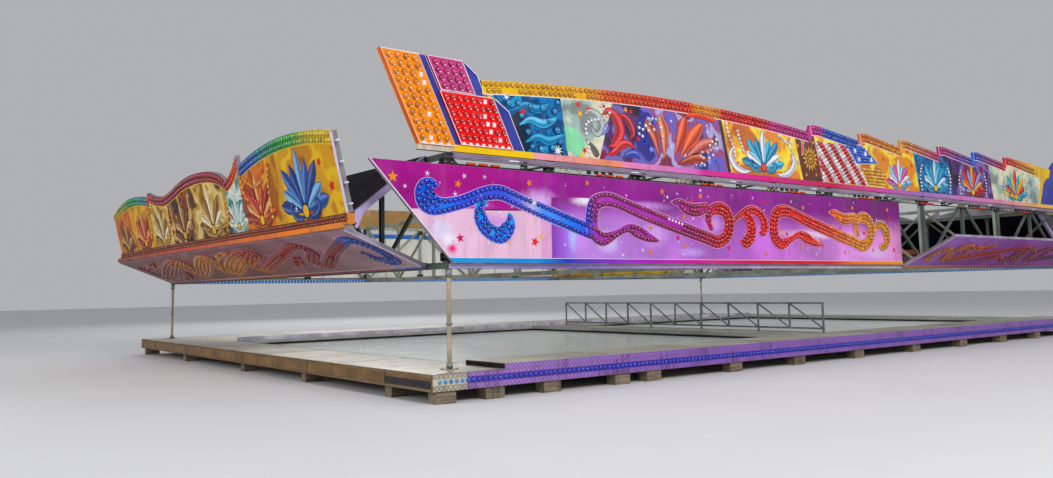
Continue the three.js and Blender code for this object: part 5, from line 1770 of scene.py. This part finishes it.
def chord_trim():
    """Lilac, white and blue lines on the lower chords of the front and the rear girder."""
    chord = Piece()
    lilac = board_paint(
        "chord_trim_lilac", [(0.6, "#b8b0dc"), (3.0, "#8c78d8"), (4.5, "#c8a8e8"), (12.0, "#dcd4dc"),
            (21.4, "#c8c0d8")], 0.6, 21.4, cloud=0.4)
    for face in (0.4938, 14.1082):
        for low, high, paint in (
                (1.424, 1.474, lilac), (1.476, 1.484, WHITE_LINE_AND_GLINT), (1.486, 1.500, tint("#5c50b8"))):
            chord.block((0.60, face - 0.002, low), (21.44, face, high), paint)
    chord.build("girder_chord_trim", *ON_DECK, "girder")


def underside_fittings():
    """Rails, hangers, slanting bars and cable boxes under the front crown."""
    hung = Piece()
    cream_bar = tint("#cfc4a4")
    hung.block((0.66, 0.420, 3.014), (21.38, 0.490, 3.088), tint("#8c7a92", cloud=0.7))
    hung.block((0.66, 0.416, 3.004), (21.38, 0.424, 3.014), HARDWARE)
    hung.block((0.66, 0.470, 2.918), (21.38, 0.488, 2.940), DARK_STEEL)
    for i in range(8):
        x = 1.95 + i * 2.55
        hung.block((x - 0.05, 0.418, 2.916), (x + 0.05, 0.488, 3.05), DARK_STEEL)
        hung.tube((x + 0.04, 0.44, 2.930), (x + 0.55, 0.44, 3.03), 0.018, DARK_STEEL, 8)
        hung.tube((x - 0.09, 0.432, 2.95), (x + 0.09, 0.432, 2.95), 0.014, HARDWARE, 8)
        hung.block((x - 0.30, 0.414, 3.03), (x - 0.12, 0.424, 3.05), tint("#eeeaf0"))
        for k in range(5):
            near = x + 0.66 + 0.11 * k
            hung.tube((near, 0.455, 2.93), (near + 0.16, 0.455, 3.035), 0.009, cream_bar, 6)
        for k in range(2):
            near = x + 0.78 + 0.25 * k
            hung.tube((near, 0.465, 3.035), (near + 0.16, 0.465, 2.93), 0.009, cream_bar, 6)
        for k in range(3):
            near = x - 1.05 + 0.22 * k
            hung.block((near, 0.44, 2.932), (near + 0.15, 0.478, 2.965), tint("#d8501c"))
        for k in range(4):
            near = x + 1.3 + 0.16 * k
            hung.block((near, 0.45, 2.95 + 0.012 * (k % 2)), (near + 0.08, 0.485, 3.03), DARK_STEEL)
    hung.build("crown_underside_fittings", *ON_DECK, "girder")


def inner_lamps_and_lining():
    """Strips of blue and white lenses inside the roof, and the pale lining of the rear board."""
    lenses = Piece()
    blue = tint("#2f86e0")
    for along, count, start, low, high in (
            (0, 216, 0.70, 14.008, 14.0255), (1, 136, 0.66, 21.3660, 21.3835)):
        for i in range(count):
            near = start + i * 0.096
            for a, b, inset, lens in ((0.0, 0.066, 0.0, blue), (0.068, 0.090, 0.005, tint("#eef4fa"))):
                corners = [(near + a, low), (near + b, high)]
                if along:
                    corners = [(x, y) for y, x in corners]
                lenses.block((*corners[0], 1.425 + inset), (*corners[1], 1.495 - inset), lens)
    lenses.build("inner_lamp_strips", *ON_DECK, "girder")
    inner = Piece()
    inner.block((0.70, 14.108, 1.56), (21.34, 14.128, 2.76), tint("#fbf9f0", cloud=0.15, dirt=0.12))
    inner.block((0.70, 14.104, 2.78), (21.34, 14.128, 2.88), blue)
    for i in range(10):
        x = 0.72 + i * 2.08
        inner.block((x, 14.100, 1.56), (x + 0.03, 14.109, 2.76), tint("#b8bcc0"))
    inner.build("rear_flap_inner_lining", *ON_DECK, "scroll_board")


for details in (
        front_edge, edge_rims, deck_trims, post_fittings, girder_gussets, chord_trim, underside_fittings,
        inner_lamps_and_lining):
    details()


def rolled_canvas(half, radius, straps):
    """A slightly lumpy roll of canvas, pulled in under its straps, with a turn showing at each end."""
    draw = random.Random(2)
    waves = [(draw.uniform(1, 5), draw.uniform(0, 6.3), draw.choice((2, 3, 5, 7))) for _ in range(8)]
    piece = Piece()
    mark = piece.mark(canvas_roll())
    rings, around = 150, 40
    for i in range(rings + 1):
        along = -1 + 2 * i / rings
        pull = min(abs(along - s) for s in straps)
        for k in range(around):
            angle = 2 * math.pi * k / around
            lump = sum(math.sin(f * along * 3 + p + n * angle) for f, p, n in waves) / len(waves)
            step = 0.012 if 0.3 < (angle + 0.2 * math.sin(along * 2)) % (2 * math.pi) < 2.4 else 0.0
            r = radius * (0.955 + 0.03 * lump) - step - 0.014 * math.exp(-(pull * 26) ** 2)
            piece.points.append(
                (half * along * ROLL_PART, math.cos(angle) * r, math.sin(angle) * min(r, radius)))
    for i in range(rings):
        piece.wall(i * around, (i + 1) * around, around, mark, True)
    dark = piece.mark(flat_paint("roll_core_shadow", "#2a2012", coat=0.0))
    turns = ((0.8, 0.0), (0.76, 0.02), (0.58, 0.005), (0.54, 0.03), (0.34, 0.01), (0.30, 0.10))
    for ring, inward in ((0, 1), (rings * around, -1)):
        for i, (size, deep) in enumerate(turns):
            following = len(piece.points)
            x = inward * (deep - half * ROLL_PART)
            piece.points += [(x, y, z) for y, z in disc(0, 0, radius * size, around)]
            piece.wall(
                *((following, ring) if inward > 0 else (ring, following)), around, dark if i % 2 else mark)
            ring = following
        piece.face([ring + k for k in range(around)][::-inward], dark)
    return piece


def cover_roll():
    """The rolled cover and its four straps."""
    low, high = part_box("roof_cover_roll")
    half = (high.x - low.x) / 2
    radius = (high.z - low.z) / 2
    straps = (-0.82, -0.3, 0.28, 0.8)
    where = (Matrix.Translation((low + high) / 2), DECK_BODY, "cover_roll")
    rolled_canvas(half, radius, straps).build("roof_cover_roll_canvas", *where, ["roof_cover_roll"])
    belts = Piece()
    web = belts.mark(worn_metal("roll_strap_webbing", "#3a3c44", metallic=0.0, rough=(0.7, 0.9)))
    ring = disc(0, 0, radius * 0.975, 32)
    for part in straps:
        x = half * part
        for (ay, az), (by, bz) in zip(ring, ring[1:] + ring[:1]):
            first = len(belts.points)
            for size in (1, 0.94):
                corners = ((-0.025, ay, az), (0.025, ay, az), (0.025, by, bz), (-0.025, by, bz))
                belts.points += [(x + dx, y * size, z * size) for dx, y, z in corners]
            belts.face([first + n for n in (0, 1, 2, 3)], web)
            belts.face([first + n for n in (7, 6, 5, 4)], web)
            belts.wall(first + 4, first, 4, web)
        belts.block((x - 0.035, -radius * 0.99, -0.03), (x + 0.035, -radius * 0.93, 0.03), HARDWARE)
    belts.build("roof_cover_roll_straps", *where)


cover_roll()

# Finishes of the CAD nodes

HALF_DECK = DECK_LENGTH / 2


def along_row(finish, stops):
    """A colour that changes along the row frame's x, from stops given along the deck."""
    return along_x(finish, -HALF_DECK, HALF_DECK, [(x - HALF_DECK, hexes) for x, hexes in stops])


def crown_frame_finish():
    stops = [
        (0.0, "#d8ccb4"), (0.60, "#d8ccb4"), (0.63, "#f2c60c"), (2.1, "#f4cc10"), (2.14, "#f0aab8"),
        (3.0, "#ee9c94"), (3.9, "#f0966c"), (4.1, "#e690c0"), (5.8, "#d478c0"), (6.0, "#e03c9c"),
        (7.2, "#da2c90"), (10.2, "#c01c58"), (10.6, "#d83c84"), (11.8, "#d0589c"), (13.5, "#a07cc4"),
        (17.0, "#e690c0"), (21.0, "#f2c60c"), (21.5, "#d8ccb4")]
    finish = Finish("crown_base_beam_paint", specular=PAINT_SPECULAR)
    under = finish.maths("LESS_THAN", finish.axis("Z"), 3.492)
    mauve = finish.mix(finish.group(clouds, Scale=1.2)["Value"], colour("#6c5c74"), colour("#b0a0b4"))
    return weathered(finish, finish.mix(under, along_row(finish, stops), mauve), 0.3)


def along_y(name, stops, low, high):
    """Board paint whose colour changes along the row frame's y."""
    finish = Finish(name, coat=0.04, specular=PAINT_SPECULAR)
    part = finish.spread(finish.axis("Y"), low, high, smooth=False)
    base = finish.ramp(part, [((y - low) / (high - low), colour(c)) for y, c in stops])
    cloud_map = finish.group(clouds, Scale=1.5)
    runs = finish.group(streaks, Scale=6.0, Amount=0.4)
    base = finish.mix(finish.times(cloud_map["Value"], 0.3), base, (0.2, 0.12, 0.1))
    base = finish.mix(runs["Mask"], base, (0.08, 0.06, 0.05))
    return finish.done(base, (cloud_map["Fine"], 0.25, 0.75, 0.28, 0.5))


def closing_board_finish():
    """Painted ply with a lilac front edge, near black elsewhere as painted shade, since the boards stand in
    shade behind the flaps and crowns.
    """
    finish = Finish("closing_board_shaded_paint", specular=0.05)
    patch = finish.group(clouds, Scale=1.3)
    runs = finish.group(streaks, Scale=5.0, Amount=0.5)
    # Near black: painted shade, as these boards stand in shade behind the flaps and crowns.
    base = finish.mix(patch["Value"], colour("#08060a"), colour("#1a141c"))
    near = finish.spread(finish.axis("Y"), -6.23, -6.10, 1.0, 0.0)
    base = finish.mix(near, base, colour("#c4b4dc"))
    base = finish.mix(finish.times(runs["Mask"], 0.4), base, colour("#2c262c"))
    return finish.done(base, (patch["Fine"], 0.25, 0.75, 0.7, 0.9))


floor_finish = floor_steel()
bearer_paint = bearer_finish()
girder_paint = worn_metal("girder_grey_green", "#55625c", metallic=0.35, wear=0.45)
post_paint = worn_metal("post_cream", "#bcae96", metallic=0.3, wear=0.35)
edge_paint = worn_metal("edge_board_buff", "#80603a", metallic=0.1, wear=0.3)
inner_girder_paint = worn_metal("inner_girder_pale", "#a2a89c", metallic=0.3, wear=0.45)
kerb_paint = worn_metal("kerb_lilac", "#dcd6e8", metallic=0.1, wear=0.4)
rail_paint = worn_metal("railing_grey", "#8f9898", metallic=0.6, wear=0.5)
flap_back = worn_metal("flap_silver_mauve", "#a49cae", metallic=0.45, wear=0.3)


def crown_board_finish():
    """The band's colours on the boards' edges, plain grey on their backs."""
    finish = Finish("crown_board_edges", specular=PAINT_SPECULAR)
    edges = along_row(finish, BAND_STOPS)
    back = finish.maths("GREATER_THAN", finish.axis("Y"), -6.812)
    grey = finish.mix(finish.group(clouds, Scale=2.2)["Value"], colour("#77747a"), colour("#9c99a0"))
    return weathered(finish, finish.mix(back, edges, grey), 0.4)


def end_board_finish(name, side):
    """Blue paint, with an orange outer edge. side is -1 on the left and 1 on the right."""
    finish = Finish(name, coat=0.04, specular=PAINT_SPECULAR)
    across = finish.times(finish.axis("X"), float(-side))
    slanting = finish.maths("MULTIPLY_ADD", finish.axis("Z"), 0.48, across)
    outer = finish.maths("LESS_THAN", slanting, -9.225)
    cloud_map = finish.group(clouds, Scale=1.8)
    runs = finish.group(streaks, Scale=6.0, Amount=0.3)
    blue = finish.mix(cloud_map["Value"], colour("#383e92"), colour("#4a52a4"))
    base = finish.mix(outer, blue, colour("#f4800c"))
    base = finish.mix(runs["Mask"], base, colour("#1c1a20"))
    return finish.done(base, (cloud_map["Fine"], 0.25, 0.75, 0.3, 0.5))


end_left = end_board_finish("end_board_blue_left", -1)
end_right = end_board_finish("end_board_blue_right", 1)
crown_edges = crown_board_finish()
crown_back = worn_metal("crown_back_grey", "#8d8a90", metallic=0.3, wear=0.3)
side_base_paint = along_y(
    "side_crown_base_paint", [(-6.4, "#ff9c1c"), (-3.0, "#f07c18"), (1.0, "#c84c1c"), (6.6, "#8a4424")],
    -6.4, 6.6)
rear_tan = flat_paint("rear_crown_tan", "#b88f5c", cloud=0.5, coat=0.1, dirt=0.5)
closing = closing_board_finish()
# The first entry whose words are in a node's name gives its finish
CAD_FINISHES = (
    ("front_crown_frame", crown_frame_finish()), ("left_end_board", end_left),
    ("right_end_board", end_right), ("orange_lamp_panel", tint("#f2660c")),
    ("red_lamp_panel", tint("#e01010")), ("pink_lamp_panel", tint("#c83c80")),
    ("front_crown_board", crown_edges), ("rear_crown", rear_tan), ("closing_board", closing),
    ("crown_board", crown_back), ("crown_base", side_base_paint), ("kerb", kerb_paint),
    ("driving_floor", floor_finish), ("bearer", bearer_paint), ("walkway", tread), ("centre_strip", tread),
    ("edge_board", edge_paint), ("rear_girder", inner_girder_paint), ("cross_girder", inner_girder_paint),
    ("girder", girder_paint), ("_post", post_paint), ("_flap", flap_back), ("", rail_paint))
for name, node in NODES.items():
    chosen = next(finish for words, finish in CAD_FINISHES if words in name)
    node.data.materials.clear()
    node.data.materials.append(chosen)


# Stage: floor, sky, lights and camera

STAGE_HALF = 120


def stage_and_light():
    mesh = bpy.data.meshes.new("stage_floor")
    corners = ((-1, -1), (1, -1), (1, 1), (-1, 1))
    mesh.from_pydata([(x * STAGE_HALF, y * STAGE_HALF, 0) for x, y in corners], [], [(0, 1, 2, 3)])
    pale = Finish("stage_pale", roughness=0.9)
    tone = pale.mix(pale.noise(0.6, 4.0), (0.62, 0.62, 0.63), (0.68, 0.68, 0.68))
    pale.put(pale.shader.inputs["Base Color"], tone)
    mesh.materials.append(pale.material)
    ground = bpy.data.objects.new("stage_floor", mesh)
    bpy.context.scene.collection.objects.link(ground)
    world = bpy.data.worlds.new("studio")
    world.use_nodes = True
    sky = world.node_tree.nodes["Background"].inputs
    sky["Color"].default_value = (0.86, 0.88, 0.92, 1)
    sky["Strength"].default_value = 0.50
    bpy.context.scene.world = world
    lights = (("key", (-14, -28, 15), (0, 0, 2), 9, 4300), ("fill", (16, -24, 12), (0, 0, 2), 12, 1500),
              ("left_side", (-30, -2, 9), (-10, 0, 3), 8, 1700), ("rear", (6, 28, 16), (0, 0, 2), 12, 1900))
    for name, where, target, size, power in lights:
        data = bpy.data.lights.new(name, "AREA")
        data.shape = "SQUARE"
        data.size = size
        data.energy = power
        lamp = bpy.data.objects.new(name, data)
        lamp.location = where
        lamp.rotation_mode = "QUATERNION"
        lamp.rotation_quaternion = (Vector(target) - Vector(where)).to_track_quat("-Z", "Y")
        bpy.context.scene.collection.objects.link(lamp)


def photo_camera():
    camera = bpy.data.cameras.new("photo_camera")
    holder = bpy.data.objects.new("photo_camera", camera)
    bpy.context.scene.collection.objects.link(holder)
    right = (0.79366, -0.60807, -0.01897)
    up = (-0.04520, -0.09003, 0.99491)
    back = (-0.60667, -0.78877, -0.09894)
    place = (-17.172, -17.384, 1.50)
    holder.matrix_world = Matrix([(right[i], up[i], back[i], place[i]) for i in range(3)] + [(0, 0, 0, 1)])
    camera.lens = 29.93
    camera.sensor_width = 36
    camera.shift_x = 0.0016
    camera.shift_y = -0.0344
    camera.clip_end = 500
    bpy.context.scene.camera = holder


stage_and_light()
photo_camera()
bpy.context.scene.view_settings.view_transform = "Standard"
